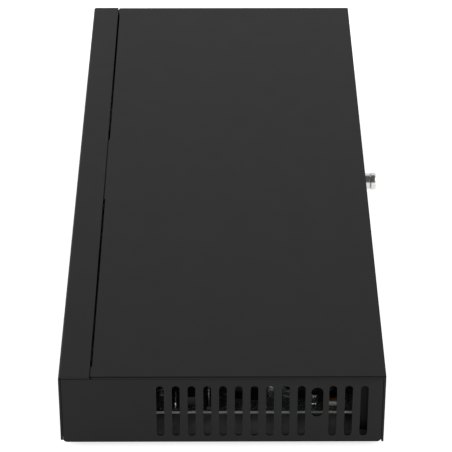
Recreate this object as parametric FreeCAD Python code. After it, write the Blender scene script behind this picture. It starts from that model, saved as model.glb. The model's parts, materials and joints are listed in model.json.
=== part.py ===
import FreeCAD, Part
import math
import os
from FreeCAD import Vector

# A flat steel-cased video recorder, 440 mm wide, in millimetres.
# +X is the right-hand end, -Y the front panel, +Y the connector panel, +Z up.
# The origin is on the surface it stands on, under the middle of its overall length and depth.

# ---------------------------------------------------------------- driving sizes
# Case
CASE_WIDTH = 440.0
CASE_DEPTH = 180.7
CASE_HEIGHT = 45.0          # underside of the tray to the top of the cover
COVER_SHEET = 1.0
TRAY_SHEET = 1.2
FRONT_SHEET = 1.2
BEND_RADIUS = 1.5           # outside radius of a folded edge
EDGE_ROUND = 0.7            # the cover's top sheet is cut, not folded, along its two ends
JOINT_WIDTH = 0.2           # the open joint under that sheet's edge, seen on the ends
JOINT_DEPTH = 0.4
FIT_GAP = 0.3               # between folded sheets that slide together
HOLE_GAP = 0.3              # between a connector and its cut-out
FOOT_HEIGHT = 3.0
FOOT_RADIUS = 8.0
FOOT_INSET = 22.0

# Cover edge, lip and tongues
LIP_DEPTH = 17.2            # top lip of the front panel
SEAM = 1.3                  # open joint between lip and cover
TONGUE_SEAM = 0.6           # narrower joint where a tongue goes under the lip
TONGUE_LENGTH = 8.0
CENTRE_TONGUE = 72.0
END_TONGUE = 9.0
CORNER_RADIUS = 2.2         # lower corners of the cover's sides
FRONT_LIFT = 1.4            # front panel's lower edge above the tray's underside

# Side vents
VENT_COUNT = 14
VENT_PITCH = 8.7
VENT_WIDTH = 4.3
VENT_LOW = 4.3              # above the tray's underside
VENT_HIGH = 38.8
VENT_FIRST = 56.0           # first vent's centre, behind the front face
SHORT_VENT = 10             # counted from 0
SHORT_VENT_WIDTH = 6.7
SHORT_VENT_LOW = 17.7
SHORT_VENT_HIGH = 37.6

# Rear vents
REAR_VENT_COUNT = 12
REAR_VENT_PITCH = 9.0
REAR_VENT_WIDTH = 3.2
REAR_VENT_HEIGHT = 22.0

# Cover screw
SCREW_DROP = 9.6            # its axis below the top of the cover
SCREW_RADIUS = 2.0
SCREW_HEAD_RADIUS = 5.5
SCREW_HEAD_HEIGHT = 3.5
COLLAR_RADIUS = 5.1
COLLAR_HEIGHT = 3.7
COLLAR_NECK = 0.4
BRACKET_SHEET = 1.2
BRACKET_WIDTH = 30.0
BRACKET_LEG = 12.0

# Main board
BOARD_LENGTH = 256.0
BOARD_DEPTH = 136.0
BOARD_THICKNESS = 1.6
BOARD_SIDE_GAP = 11.3       # board edge inside the case's right-hand face
STANDOFF_HEIGHT = 10.0
STANDOFF_RADIUS = 3.0
STANDOFF_BORE = 1.6
BOARD_HOLE = 1.75
PAN_SCREW_RADIUS = 1.5
PAN_HEAD_RADIUS = 2.8
PAN_HEAD_HEIGHT = 2.0
PAN_SCREW_LENGTH = 5.0
NOTCH_WIDTH = 12.0
NOTCH_DEPTH = 13.4

# Network ports
PORT_PITCH = 13.97
PORT_WALL = 1.6
PORT_WIDTH = 11.9
PORT_HEIGHT = 6.9
LATCH_WIDTH = 6.2
LATCH_HEIGHT = 1.9
PORT_BODY_HEIGHT = 13.4
PORT_BODY_DEPTH = 20.0
PORT_CAVITY = 14.0
PORT_SHIELD = 0.3
PORT_PROUD = 0.4            # connector faces stand this far out of the rear panel
CONTACT_COUNT = 8
CONTACT_PITCH = 1.02

# Hard disk
DISK_LENGTH = 147.0
DISK_WIDTH = 101.6
DISK_HEIGHT = 26.1
DISK_LID = 1.5
DISK_GAP = 20.0             # between the disk and the main board
DISK_SPACER = 3.0
DISK_FRONT_GAP = 28.0       # disk behind the front face
POCKET_WALL = 2.0           # thinnest wall round the platters
PLATTER_GAP = 1.3
PLATTER_RADIUS = DISK_WIDTH / 2 - POCKET_WALL - PLATTER_GAP
PLATTER_THICKNESS = 1.27
PLATTER_SPACING = 4.4
PLATTER_COUNT = 2
HUB_RADIUS = 12.5
ARM_THICKNESS = 1.0
PIVOT_RADIUS = 7.0
PIVOT_DISTANCE = PLATTER_RADIUS + 10.5
ARM_LENGTH = PIVOT_DISTANCE - 12.0
PIVOT_ANGLE = -29.0         # direction from spindle to pivot, degrees
ARM_REST_ANGLE = 94.0       # direction from pivot to heads, parked off the platters
BAY_WALL = 3.0              # wall of the casting beside the arm
COIL_GAP = 5.7              # coil to that wall

# Fan
FAN_SIZE = 40.0
FAN_DEPTH = 10.0
FAN_BORE = 19.0
FAN_TIP_GAP = 0.7
FAN_HUB_RADIUS = 10.5
FAN_BLADES = 7
FAN_HOLE_PITCH = 32.0
FAN_SCREW_HOLE = 1.75
FAN_WIRE_OFFSET = 7.0       # the wires leave the frame this far in front of the fan's axis

# Front controls
BUTTON_RADIUS = 5.0
BUTTON_PROUD = 0.6
BUTTON_TRAVEL = 0.5
DATA_WIDTH = 13.1
DATA_HEIGHT = 5.7
DATA_DEPTH = 14.0
DATA_SHELL = 0.35

# ---------------------------------------------------------------- places
HALF = CASE_WIDTH / 2
SCREW_PROUD = COLLAR_HEIGHT + COLLAR_NECK + SCREW_HEAD_HEIGHT
FRONT = -(CASE_DEPTH + SCREW_PROUD - BUTTON_PROUD) / 2
REAR = FRONT + CASE_DEPTH
MIDDLE_Y = (FRONT + REAR) / 2
BASE = FOOT_HEIGHT
TOP = BASE + CASE_HEIGHT
FLOOR = BASE + TRAY_SHEET
CEILING = TOP - COVER_SHEET
LIP_BACK = FRONT + LIP_DEPTH
COVER_FRONT = LIP_BACK + SEAM
INNER_SIDE = HALF - COVER_SHEET - FIT_GAP
REAR_INNER = REAR - TRAY_SHEET
SCREW_Z = TOP - SCREW_DROP

BOARD_RIGHT = HALF - BOARD_SIDE_GAP
BOARD_LEFT = BOARD_RIGHT - BOARD_LENGTH
BOARD_REAR = REAR_INNER - TRAY_SHEET - 0.6
BOARD_FRONT = BOARD_REAR - BOARD_DEPTH
BOARD_UNDER = FLOOR + STANDOFF_HEIGHT
BOARD_TOP = BOARD_UNDER + BOARD_THICKNESS
PORT_FACE = REAR + PORT_PROUD

DC_X = BOARD_RIGHT - 24.0
AUDIO_X = (BOARD_RIGHT - 40.0, BOARD_RIGHT - 52.0)
MONITOR_SOCKET_X = BOARD_RIGHT - 70.0
MOUSE_SOCKET_X = BOARD_RIGHT - 92.0
LAN_X = BOARD_RIGHT - 114.0
BLOCK_GAP = 6.5             # between one block of network ports and the next
BLOCK_WIDTH = 4 * PORT_PITCH + 2 * PORT_WALL
FIRST_BLOCK = LAN_X - (PORT_PITCH + 2 * PORT_WALL + BLOCK_WIDTH) / 2 - BLOCK_GAP
CAMERA_BLOCKS = (FIRST_BLOCK, FIRST_BLOCK - BLOCK_WIDTH - BLOCK_GAP)

DISK_RIGHT = BOARD_LEFT - DISK_GAP
DISK_LEFT = DISK_RIGHT - DISK_LENGTH
DISK_FRONT = FRONT + DISK_FRONT_GAP
DISK_REAR = DISK_FRONT + DISK_WIDTH
DISK_UNDER = FLOOR + DISK_SPACER
DISK_TOP = DISK_UNDER + DISK_HEIGHT
SPINDLE = Vector(DISK_LEFT + DISK_WIDTH / 2, (DISK_FRONT + DISK_REAR) / 2, 0)

FAN_X = -INNER_SIDE + TRAY_SHEET + 1.0          # outer face of the fan
FAN_Y = DISK_REAR + 3.0 + FAN_SIZE / 2
FAN_Z = FLOOR + 0.6 + FAN_SIZE / 2

FRONT_BOARD_RIGHT = BOARD_RIGHT - 4.0
FRONT_BOARD_LENGTH = 118.0
FRONT_BOARD_DEPTH = 26.0
FRONT_BOARD_FRONT = FRONT + FRONT_SHEET + TRAY_SHEET + 1.0
CONTROL_Z = BOARD_TOP + 4.6                     # centre line of the front controls
BUTTON_X = FRONT_BOARD_RIGHT - 12.0
PIPE_X = tuple(FRONT_BOARD_RIGHT - 34.0 - 9.0 * i for i in range(3))
WINDOW_X = FRONT_BOARD_RIGHT - 68.0
FRONT_SOCKET_X = (FRONT_BOARD_RIGHT - 88.0, FRONT_BOARD_RIGHT - 108.0)


# ---------------------------------------------------------------- helpers
def block(x0, x1, y0, y1, z0, z1):
    return Part.makeBox(x1 - x0, y1 - y0, z1 - z0, Vector(x0, y0, z0))


def slab(x, y, size_x, size_y, z0, height):
    """A block centred on x, y that stands on z0."""
    return block(x - size_x / 2, x + size_x / 2, y - size_y / 2, y + size_y / 2, z0, z0 + height)


def upright(radius, x, y, z0, height):
    return Part.makeCylinder(radius, height, Vector(x, y, z0), Vector(0, 0, 1))


def rearward(radius, x, z, y0, length):
    return Part.makeCylinder(radius, length, Vector(x, y0, z), Vector(0, 1, 0))


def sideways(radius, y, z, x0, length):
    return Part.makeCylinder(radius, length, Vector(x0, y, z), Vector(1, 0, 0))


def fused(shapes):
    shapes = list(shapes)
    return shapes[0].multiFuse(shapes[1:]).removeSplitter() if len(shapes) > 1 else shapes[0]


def group(shapes):
    return Part.makeCompound(list(shapes))


def edges_where(shape, test):
    return [e for e in shape.Edges if test(e)]


def runs_along(edge, axis):
    if not isinstance(edge.Curve, Part.Line):
        return False
    a, b = edge.Vertexes[0].Point, edge.Vertexes[-1].Point
    return abs((b - a).normalize().dot(axis)) > 0.999


def outline_x(points, x0, x1):
    """A solid from y, z points, drawn out from x0 to x1."""
    wire = Part.makePolygon([Vector(x0, y, z) for y, z in points + points[:1]])
    return Part.Face(wire).extrude(Vector(x1 - x0, 0, 0))


def outline_y(points, y0, y1):
    """A solid from x, z points, drawn out from y0 to y1."""
    wire = Part.makePolygon([Vector(x, y0, z) for x, z in points + points[:1]])
    return Part.Face(wire).extrude(Vector(0, y1 - y0, 0))


def slot_through_side(y, z0, z1, width, x0, x1):
    """A slot with round ends that goes through a side wall."""
    r = width / 2
    return fused([
        block(x0, x1, y - r, y + r, z0 + r, z1 - r),
        sideways(r, y, z0 + r, x0, x1 - x0),
        sideways(r, y, z1 - r, x0, x1 - x0),
    ])


def slot_through_rear(x, z0, z1, width, y0, y1):
    r = width / 2
    return fused([
        block(x - r, x + r, y0, y1, z0 + r, z1 - r),
        rearward(r, x, z0 + r, y0, y1 - y0),
        rearward(r, x, z1 - r, y0, y1 - y0),
    ])


def route(points):
    """A wire of straight runs joined by tangent arcs, as large as the runs allow."""
    pts = [Vector(*p) for p in points]
    edges, here, radii = [], pts[0], []
    for before, corner, after in zip(pts, pts[1:], pts[2:]):
        u, v = (before - corner), (after - corner)
        shorter = min(u.Length, v.Length)
        u.normalize()
        v.normalize()
        turn = math.pi - u.getAngle(v)
        cut = 0.45 * shorter
        radius = cut / math.tan(turn / 2)
        start, end = corner + u * cut, corner + v * cut
        middle = corner + (u + v).normalize() * (radius / math.cos(turn / 2) - radius)
        edges.append(Part.LineSegment(here, start).toShape())
        edges.append(Part.Arc(start, middle, end).toShape())
        here = end
        radii.append(round(radius, 1))
    edges.append(Part.LineSegment(here, pts[-1]).toShape())
    return Part.Wire(edges), radii


def wire_tube(name, points, radius):
    path, radii = route(points)
    start = path.Edges[0]
    first = start.valueAt(start.FirstParameter)
    along = start.tangentAt(start.FirstParameter)
    profile = Part.Wire(Part.makeCircle(radius, first, along))
    tube = path.makePipeShell([profile], True, False)
    expected = math.pi * radius ** 2 * path.Length
    print(name, "radii", radii, "volume over section times length", round(tube.Volume / expected, 3))
    return tube


def ribbon(name, points, width, thickness, across):
    """A flat cable that bends only in the plane square to `across`."""
    path, radii = route(points)
    start = path.Edges[0]
    first = start.valueAt(start.FirstParameter)
    along = start.tangentAt(start.FirstParameter)
    side = across.normalize() * (width / 2)
    up = along.cross(across).normalize() * (thickness / 2)
    corners = [first + side + up, first - side + up, first - side - up, first + side - up]
    profile = Part.makePolygon(corners + corners[:1])
    strip = path.makePipeShell([profile], True, False)
    expected = width * thickness * path.Length
    print(name, "radii", radii, "volume over section times length", round(strip.Volume / expected, 3))
    return strip


# ---------------------------------------------------------------- case
def vents(x0, x1):
    cuts = []
    for i in range(VENT_COUNT):
        y = FRONT + VENT_FIRST + i * VENT_PITCH
        if i == SHORT_VENT:
            cuts.append(slot_through_side(y, BASE + SHORT_VENT_LOW, BASE + SHORT_VENT_HIGH,
                                          SHORT_VENT_WIDTH, x0, x1))
        else:
            cuts.append(slot_through_side(y, BASE + VENT_LOW, BASE + VENT_HIGH, VENT_WIDTH, x0, x1))
    return cuts


def tongue(x0, x1):
    """A step down from the cover's front edge, and a flat tongue that lies under the lip."""
    step_front = LIP_BACK + TONGUE_SEAM
    joint_back = COVER_FRONT + 1.0
    under = TOP - FRONT_SHEET - FIT_GAP
    return fused([
        block(x0, x1, step_front, joint_back, under - COVER_SHEET, TOP),
        block(x0, x1, LIP_BACK - TONGUE_LENGTH, joint_back, under - COVER_SHEET, under),
    ])


def top_cover():
    outer = block(-HALF, HALF, COVER_FRONT, REAR, BASE, TOP)
    inner = block(-HALF + COVER_SHEET, HALF - COVER_SHEET, COVER_FRONT - 1, REAR + 1, BASE - 1, CEILING)
    shell = outer.makeFillet(EDGE_ROUND, edges_where(
        outer, lambda e: runs_along(e, Vector(0, 1, 0)) and e.BoundBox.ZMin > TOP - 0.1)).cut(inner)
    shell = shell.cut(block(-HALF - 1, HALF + 1, REAR_INNER - FIT_GAP, REAR + 1, BASE - 1, CEILING))
    lip_under = TOP - FRONT_SHEET - FIT_GAP
    joints = [block(x - JOINT_DEPTH, x + JOINT_DEPTH, COVER_FRONT - 1, REAR_INNER - 1, lip_under, lip_under + JOINT_WIDTH)
              for x in (-HALF, HALF)]
    cheek_front = FRONT + FRONT_SHEET + FIT_GAP
    cheeks = [
        block(x, x + COVER_SHEET, cheek_front, COVER_FRONT, BASE, lip_under)
        for x in (-HALF, HALF - COVER_SHEET)
    ]
    end = HALF - COVER_SHEET
    tongues = [
        tongue(-CENTRE_TONGUE / 2, CENTRE_TONGUE / 2),
        tongue(-end, -end + END_TONGUE),
        tongue(end - END_TONGUE, end),
    ]
    cover = fused([shell] + cheeks + tongues)
    lower_corners = edges_where(cover, lambda e: runs_along(e, Vector(1, 0, 0))
                                and e.BoundBox.ZMax < BASE + 0.1 and e.Length < 2 * COVER_SHEET
                                and min(abs(e.BoundBox.YMin - cheek_front),
                                        abs(e.BoundBox.YMin - (REAR_INNER - FIT_GAP))) < 0.1)
    cover = cover.makeFillet(CORNER_RADIUS, lower_corners)
    return cover.cut(Part.makeCompound(joints + vents(-HALF - 1, HALF + 1)))


def cover_rear_bracket():
    back = REAR_INNER - FIT_GAP
    low = SCREW_Z - 6.0
    half = BRACKET_WIDTH / 2
    leg = block(-half, half, back - BRACKET_SHEET, back, low, CEILING)
    flap = block(-half, half, back - BRACKET_LEG, back, CEILING - BRACKET_SHEET, CEILING)
    nut = rearward(3.6, 0, SCREW_Z, back - BRACKET_SHEET - 2.0, 2.0)
    body = fused([leg, flap, nut])
    return body.cut(rearward(SCREW_RADIUS + 0.1, 0, SCREW_Z, back - 8, 12))


def cover_screw_collar():
    ring = rearward(COLLAR_RADIUS, 0, SCREW_Z, REAR, COLLAR_HEIGHT)
    ring = ring.makeChamfer(0.4, edges_where(ring, lambda e: e.BoundBox.YMin > REAR + COLLAR_HEIGHT - 0.1
                                             and e.Length > 6 * COLLAR_RADIUS))
    return ring.cut(rearward(SCREW_RADIUS + 0.2, 0, SCREW_Z, REAR - 1, COLLAR_HEIGHT + 2))


def cover_screw():
    face = REAR + COLLAR_HEIGHT
    shank = rearward(SCREW_RADIUS, 0, SCREW_Z, REAR_INNER - FIT_GAP - BRACKET_SHEET - 3.0,
                     face - (REAR_INNER - FIT_GAP - BRACKET_SHEET - 3.0) + 1.0)
    neck = rearward(COLLAR_RADIUS - 1.2, 0, SCREW_Z, face, COLLAR_NECK)
    head = rearward(SCREW_HEAD_RADIUS, 0, SCREW_Z, face + COLLAR_NECK, SCREW_HEAD_HEIGHT)
    crown = edges_where(head, lambda e: e.BoundBox.YMin > face + COLLAR_NECK + SCREW_HEAD_HEIGHT - 0.1
                        and e.Length > 6 * SCREW_HEAD_RADIUS)
    head = head.makeFillet(1.6, crown)
    screw = fused([shank, neck, head])
    top = face + COLLAR_NECK + SCREW_HEAD_HEIGHT
    cross = [
        block(-2.6, 2.6, top - 1.6, top + 1, SCREW_Z - 0.55, SCREW_Z + 0.55),
        block(-0.55, 0.55, top - 1.6, top + 1, SCREW_Z - 2.6, SCREW_Z + 2.6),
    ]
    return screw.cut(fused(cross))


def foot_places():
    out = CASE_DEPTH / 2 - FOOT_INSET
    return [(sx * (HALF - FOOT_INSET), MIDDLE_Y + sy * out) for sx in (-1, 1) for sy in (-1, 1)]


def rubber_feet():
    feet = []
    for x, y in foot_places():
        foot = Part.makeCone(FOOT_RADIUS - 0.8, FOOT_RADIUS, FOOT_HEIGHT, Vector(x, y, 0), Vector(0, 0, 1))
        feet.append(foot.cut(upright(FOOT_RADIUS - 4.5, x, y, -0.1, 0.9)))
    return group(feet)


def disk_screw_places():
    x0, y0 = DISK_LEFT + 29.5, DISK_FRONT + 3.2
    return [(x0 + dx, y0 + dy) for dx in (0, 85.7) for dy in (0, DISK_WIDTH - 6.4)]


def board_hole_places():
    return [
        (BOARD_RIGHT - 6, BOARD_FRONT + 6),
        (BOARD_RIGHT - 20, BOARD_REAR - 27),
        (BOARD_RIGHT - 128, BOARD_FRONT + 6),
        (BOARD_RIGHT - 128, BOARD_REAR - 38),
        (BOARD_LEFT + 5, BOARD_FRONT + 6),
        (BOARD_LEFT + 5, BOARD_REAR - 52),
    ]


def rear_screw_places():
    return [(x, BASE + 6.0) for x in (-HALF + 26, -HALF / 3, HALF / 3, HALF - 26)]


SCREW_CLEAR = 1.7           # radius of a plain hole for a 3 mm screw
PANEL_FLANGE = 14.0         # depth of the rear panel's two forward flanges
PANEL_FLANGE_X = BOARD_RIGHT + 3.8
LOCK_X = BOARD_RIGHT - 6.0
SINK_RADIUS = 3.0
SINK_DEPTH = 1.1
TRAY_FLANGE = 3.6           # height of the tray's folded sides
TRAY_END_FLANGE = STANDOFF_HEIGHT


def base_tray():
    side = INNER_SIDE
    front = FRONT + FRONT_SHEET
    plate = block(-side, side, front, REAR_INNER, BASE, FLOOR)
    sides = [
        block(x, x + TRAY_SHEET, front + 4, REAR_INNER - 4, BASE, BASE + TRAY_FLANGE)
        for x in (-side, side - TRAY_SHEET)
    ]
    ends = [
        block(-side + 4, right, y, y + TRAY_SHEET, BASE, BASE + TRAY_END_FLANGE)
        for y, right in ((front, side - 4), (REAR_INNER - TRAY_SHEET, PANEL_FLANGE_X - FIT_GAP))
    ]
    tray = fused([plate] + sides + ends)
    bends = edges_where(tray, lambda e: e.Length > 60 and e.BoundBox.ZMax < BASE + 0.01
                        and (runs_along(e, Vector(1, 0, 0)) or runs_along(e, Vector(0, 1, 0))))
    tray = tray.makeFillet(0.6, bends)
    holes = [upright(SCREW_CLEAR, x, y, BASE - 1, 4) for x, y in disk_screw_places()]
    holes += [Part.makeCone(SINK_RADIUS, SCREW_CLEAR, SINK_DEPTH, Vector(x, y, BASE), Vector(0, 0, 1))
              for x, y in disk_screw_places()]
    holes += [rearward(SCREW_CLEAR, x, z, REAR_INNER - 4, 6) for x, z in rear_screw_places()]
    for i in range(9):
        x = BOARD_LEFT + 30 + i * 12
        holes.append(block(x - 1.6, x + 1.6, MIDDLE_Y - 20, MIDDLE_Y + 20, BASE - 1, FLOOR + 1))
    return tray.cut(Part.makeCompound(holes))


def countersunk_screw(place, direction, length):
    head = Part.makeCone(SINK_RADIUS - 0.05, PAN_SCREW_RADIUS - 0.05, SINK_DEPTH, place, direction)
    shank = Part.makeCylinder(PAN_SCREW_RADIUS - 0.05, length, place, direction)
    screw = fused([head, shank])
    seat = FreeCAD.Placement(place, FreeCAD.Rotation(Vector(0, 0, 1), direction))
    for turn in (45, 135):
        bar = Part.makeBox(3.4, 0.6, 0.7, Vector(-1.7, -0.3, -0.1))
        bar.rotate(Vector(0, 0, 0), Vector(0, 0, 1), turn)
        bar.Placement = seat.multiply(bar.Placement)
        screw = screw.cut(bar)
    return screw


def countersunk_screws():
    inward = [countersunk_screw(Vector(x, REAR, z), Vector(0, -1, 0), 6.0) for x, z in rear_screw_places()]
    upward = [countersunk_screw(Vector(x, y, BASE), Vector(0, 0, 1), TRAY_SHEET + DISK_SPACER + 4.0)
              for x, y in disk_screw_places()]
    return group(inward + upward)


def port_block_width(ports):
    return ports * PORT_PITCH + 2 * PORT_WALL


def rear_panel():
    plate = block(-HALF, HALF, REAR_INNER, REAR, BASE, CEILING)
    y0, y1 = REAR_INNER - 1, REAR + 1
    gap = HOLE_GAP

    def opening(x, width, z0, z1):
        return block(x - width / 2 - gap, x + width / 2 + gap, y0, y1, z0 - gap, z1 + gap)

    cuts = [opening(x, port_block_width(4), BOARD_TOP, BOARD_TOP + PORT_BODY_HEIGHT) for x in CAMERA_BLOCKS]
    cuts.append(opening(LAN_X, port_block_width(1), BOARD_TOP, BOARD_TOP + PORT_BODY_HEIGHT))
    cuts.append(opening(MOUSE_SOCKET_X, DATA_WIDTH, BOARD_TOP, BOARD_TOP + MOUSE_SOCKET_STACK))
    cuts.append(opening(MONITOR_SOCKET_X, MONITOR_SOCKET_WIDTH, BOARD_TOP, BOARD_TOP + MONITOR_SOCKET_HEIGHT))
    cuts.append(rearward(DC_RADIUS + gap, DC_X, BOARD_TOP + DC_AXIS, y0, TRAY_SHEET + 2))
    cuts += [rearward(AUDIO_RADIUS + gap, x, BOARD_TOP + AUDIO_AXIS, y0, TRAY_SHEET + 2) for x in AUDIO_X]
    cuts.append(rearward(SCREW_RADIUS + 0.4, 0, SCREW_Z, y0, TRAY_SHEET + 2))
    cuts += [rearward(SCREW_CLEAR, x, z, y0, TRAY_SHEET + 2) for x, z in rear_screw_places()]
    cuts += [Part.makeCone(SINK_RADIUS, SCREW_CLEAR, SINK_DEPTH, Vector(x, REAR, z), Vector(0, -1, 0))
             for x, z in rear_screw_places()]
    vent_low = BASE + (CASE_HEIGHT - REAR_VENT_HEIGHT) / 2 + 1
    for i in range(REAR_VENT_COUNT):
        x = CAMERA_BLOCKS[1] - port_block_width(4) / 2 - 26 - i * REAR_VENT_PITCH
        cuts.append(slot_through_rear(x, vent_low, vent_low + REAR_VENT_HEIGHT, REAR_VENT_WIDTH, y0, y1))
    cuts.append(block(LOCK_X - 3.5, LOCK_X + 3.5, y0, y1, BASE + 20, BASE + 23.2))
    flanges = [block(x, x + TRAY_SHEET, REAR_INNER - PANEL_FLANGE, REAR_INNER + 0.2,
                     BASE + TRAY_FLANGE + FIT_GAP, CEILING - FIT_GAP)
               for x in (-INNER_SIDE, PANEL_FLANGE_X)]
    return fused([plate] + flanges).cut(Part.makeCompound(cuts))


def front_panel():
    low = BASE + FRONT_LIFT
    outer = [(FRONT, low), (FRONT, TOP), (LIP_BACK, TOP), (LIP_BACK, TOP - FRONT_SHEET),
             (FRONT + FRONT_SHEET, TOP - FRONT_SHEET), (FRONT + FRONT_SHEET, low)]
    panel = outline_x(outer, -HALF, HALF)
    bend = edges_where(panel, lambda e: runs_along(e, Vector(1, 0, 0))
                       and e.BoundBox.YMax < FRONT + 0.1 and e.BoundBox.ZMin > TOP - 0.1)
    panel = panel.makeFillet(BEND_RADIUS, bend)
    y0, y1 = FRONT - 1, FRONT + FRONT_SHEET + 1
    cuts = [rearward(BUTTON_RADIUS + HOLE_GAP, BUTTON_X, CONTROL_Z, y0, y1 - y0)]
    cuts += [rearward(PIPE_RADIUS + 0.15, x, CONTROL_Z, y0, y1 - y0) for x in PIPE_X]
    cuts.append(block(WINDOW_X - 7.15, WINDOW_X + 7.15, y0, y1, CONTROL_Z - 3.15, CONTROL_Z + 3.15))
    cuts += [block(x - DATA_WIDTH / 2 - HOLE_GAP, x + DATA_WIDTH / 2 + HOLE_GAP, y0, y1,
                   CONTROL_Z - DATA_HEIGHT / 2 - HOLE_GAP, CONTROL_Z + DATA_HEIGHT / 2 + HOLE_GAP)
             for x in FRONT_SOCKET_X]
    for x in (-HALF - 1, HALF - 1.5):
        cuts.append(block(x, x + 2.5, FRONT - 1, FRONT + 1.7, TOP - FRONT_SHEET - 0.7, TOP - FRONT_SHEET))
    return panel.cut(Part.makeCompound(cuts))


# ---------------------------------------------------------------- main board
def main_board():
    board = block(BOARD_LEFT, BOARD_RIGHT, BOARD_FRONT, BOARD_REAR, BOARD_UNDER, BOARD_TOP)
    corner = block(BOARD_RIGHT - NOTCH_WIDTH, BOARD_RIGHT + 1, BOARD_REAR - NOTCH_DEPTH, BOARD_REAR + 1,
                   BOARD_UNDER - 1, BOARD_TOP + 1)
    holes = [upright(BOARD_HOLE, x, y, BOARD_UNDER - 1, 4) for x, y in board_hole_places()]
    return board.cut(Part.makeCompound([corner] + holes))


def front_hole_places():
    y = FRONT_BOARD_FRONT + FRONT_BOARD_DEPTH - 5
    return [(FRONT_BOARD_RIGHT - 5, y), (FRONT_BOARD_RIGHT - FRONT_BOARD_LENGTH + 5, y)]


def board_standoffs():
    posts = []
    for x, y in board_hole_places() + front_hole_places():
        post = upright(STANDOFF_RADIUS, x, y, FLOOR, STANDOFF_HEIGHT)
        posts.append(post.cut(upright(STANDOFF_BORE, x, y, BOARD_UNDER - 6, 8)))
    return group(posts)


def pan_screw(place, direction, length):
    """A screw whose head stands on `place` and whose shank runs along `direction`."""
    crown = place - direction * PAN_HEAD_HEIGHT
    head = Part.makeCylinder(PAN_HEAD_RADIUS, PAN_HEAD_HEIGHT, crown, direction)
    rim = [e for e in head.Edges if not isinstance(e.Curve, Part.Line)
           and (e.CenterOfMass - place).Length > PAN_HEAD_HEIGHT * 0.9]
    head = head.makeFillet(0.9, rim)
    return fused([head, Part.makeCylinder(PAN_SCREW_RADIUS, length, place, direction)])


def pan_head_screws():
    down = [pan_screw(Vector(x, y, BOARD_TOP), Vector(0, 0, -1), PAN_SCREW_LENGTH)
            for x, y in board_hole_places() + front_hole_places()]
    fan = [pan_screw(Vector(FAN_X + FAN_DEPTH + BRACKET_SHEET, y, z), Vector(-1, 0, 0), 6.0)
           for y, z in fan_hole_places()]
    return group(down + fan)


PROCESSOR_SIZE = 27.0
PROCESSOR_HEIGHT = 2.2
PROCESSOR_X = BOARD_RIGHT - 126.0
PROCESSOR_Y = BOARD_FRONT + 52.0
SINK_SIZE = 46.0
SINK_BASE = 2.5
SINK_FIN = 9.0
SINK_FINS = 10
SINK_FIN_THICKNESS = 1.2


def processor():
    return slab(PROCESSOR_X, PROCESSOR_Y, PROCESSOR_SIZE, PROCESSOR_SIZE, BOARD_TOP, PROCESSOR_HEIGHT)


def heatsink():
    z = BOARD_TOP + PROCESSOR_HEIGHT
    pitch = (SINK_SIZE - SINK_FIN_THICKNESS) / (SINK_FINS - 1)
    left = PROCESSOR_X - SINK_SIZE / 2
    front, back = PROCESSOR_Y - SINK_SIZE / 2, PROCESSOR_Y + SINK_SIZE / 2
    low, high = z + SINK_BASE - 0.2, z + SINK_BASE + SINK_FIN
    lefts = [left + i * pitch for i in range(SINK_FINS)]
    fins = [block(x, x + SINK_FIN_THICKNESS, front, back, low, high) for x in lefts]
    return fused([slab(PROCESSOR_X, PROCESSOR_Y, SINK_SIZE, SINK_SIZE, z, SINK_BASE)] + fins)


def memory_chips():
    chips = [slab(PROCESSOR_X + dx, PROCESSOR_Y + dy, 9.5, 13.0, BOARD_TOP, 1.2)
             for dx in (-36, 36) for dy in (-10, 10)]
    return group(chips)


def logic_chips():
    """Network switch, flash and regulators: x, y from the board's front right corner, then sizes."""
    chips = [
        (160, 90, 20, 20, 1.6), (222, 60, 14, 14, 1.4), (96, 92, 14, 14, 1.4), (104, 18, 8, 6, 1.8),
        (20, 28, 6, 5, 1.6), (12, 58, 6, 5, 1.6), (14, 95, 7, 7, 1.2), (60, 80, 10, 10, 1.2),
        (48, 40, 8, 8, 1.2), (190, 30, 12, 8, 1.6), (13, 112, 6, 5, 1.6),
        (11, 67, 6, 5, 1.6),
    ]
    return group(slab(BOARD_RIGHT - dx, BOARD_FRONT + dy, sx, sy, BOARD_TOP, h)
                 for dx, dy, sx, sy, h in chips)


def network_transformers():
    xs = [LAN_X] + [x + d for x in CAMERA_BLOCKS for d in (-15, 15)]
    y = PORT_FACE - PORT_BODY_DEPTH - 9.0
    return group(slab(x, y, 16.5, 11.0, BOARD_TOP, 6.0) for x in xs)


def can_places():
    """Electrolytic capacitors: x, y from the board's front right corner, radius, height."""
    return [
        (7.4, 100.4, 2.5, 7.0), (15.5, 76.5, 4.0, 9.0), (14.5, 86, 3.2, 6.5), (26, 84, 5.0, 12.0),
        (26, 98, 5.0, 12.0), (40, 94, 4.0, 9.0), (58, 34, 4.0, 8.0), (214, 84, 4.0, 9.0),
        (228, 84, 4.0, 9.0), (16, 14, 3.2, 6.5),
    ]


def capacitors():
    cans = []
    for dx, dy, r, h in can_places():
        can = upright(r, BOARD_RIGHT - dx, BOARD_FRONT + dy, BOARD_TOP, h)
        rim = edges_where(can, lambda e: e.BoundBox.ZMin > BOARD_TOP + h - 0.1 and e.Length > 6 * r)
        cans.append(can.makeFillet(0.5, rim))
    return group(cans)


def tantalum_capacitors():
    places = [(6.8, 111.0), (30, 22), (30, 69), (40, 68), (116, 100)]
    return group(slab(BOARD_RIGHT - dx, BOARD_FRONT + dy, 3.5, 6.0, BOARD_TOP, 2.8) for dx, dy in places)


def inductors():
    """Moulded power inductors: x, y from the board's front right corner, side, height."""
    places = [(9.2, 32, 8, 6), (22, 57.5, 10, 5), (26, 44, 12, 6), (42, 54, 12, 6), (40, 110, 10, 5),
              (240, 98, 10, 5)]
    coils = []
    for dx, dy, size, height in places:
        x, y = BOARD_RIGHT - dx, BOARD_FRONT + dy
        coil = slab(x, y, size, size, BOARD_TOP, height)
        corners = edges_where(coil, lambda e: runs_along(e, Vector(0, 0, 1)))
        coils.append(coil.makeChamfer(size * 0.16, corners))
    return group(coils)


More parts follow.
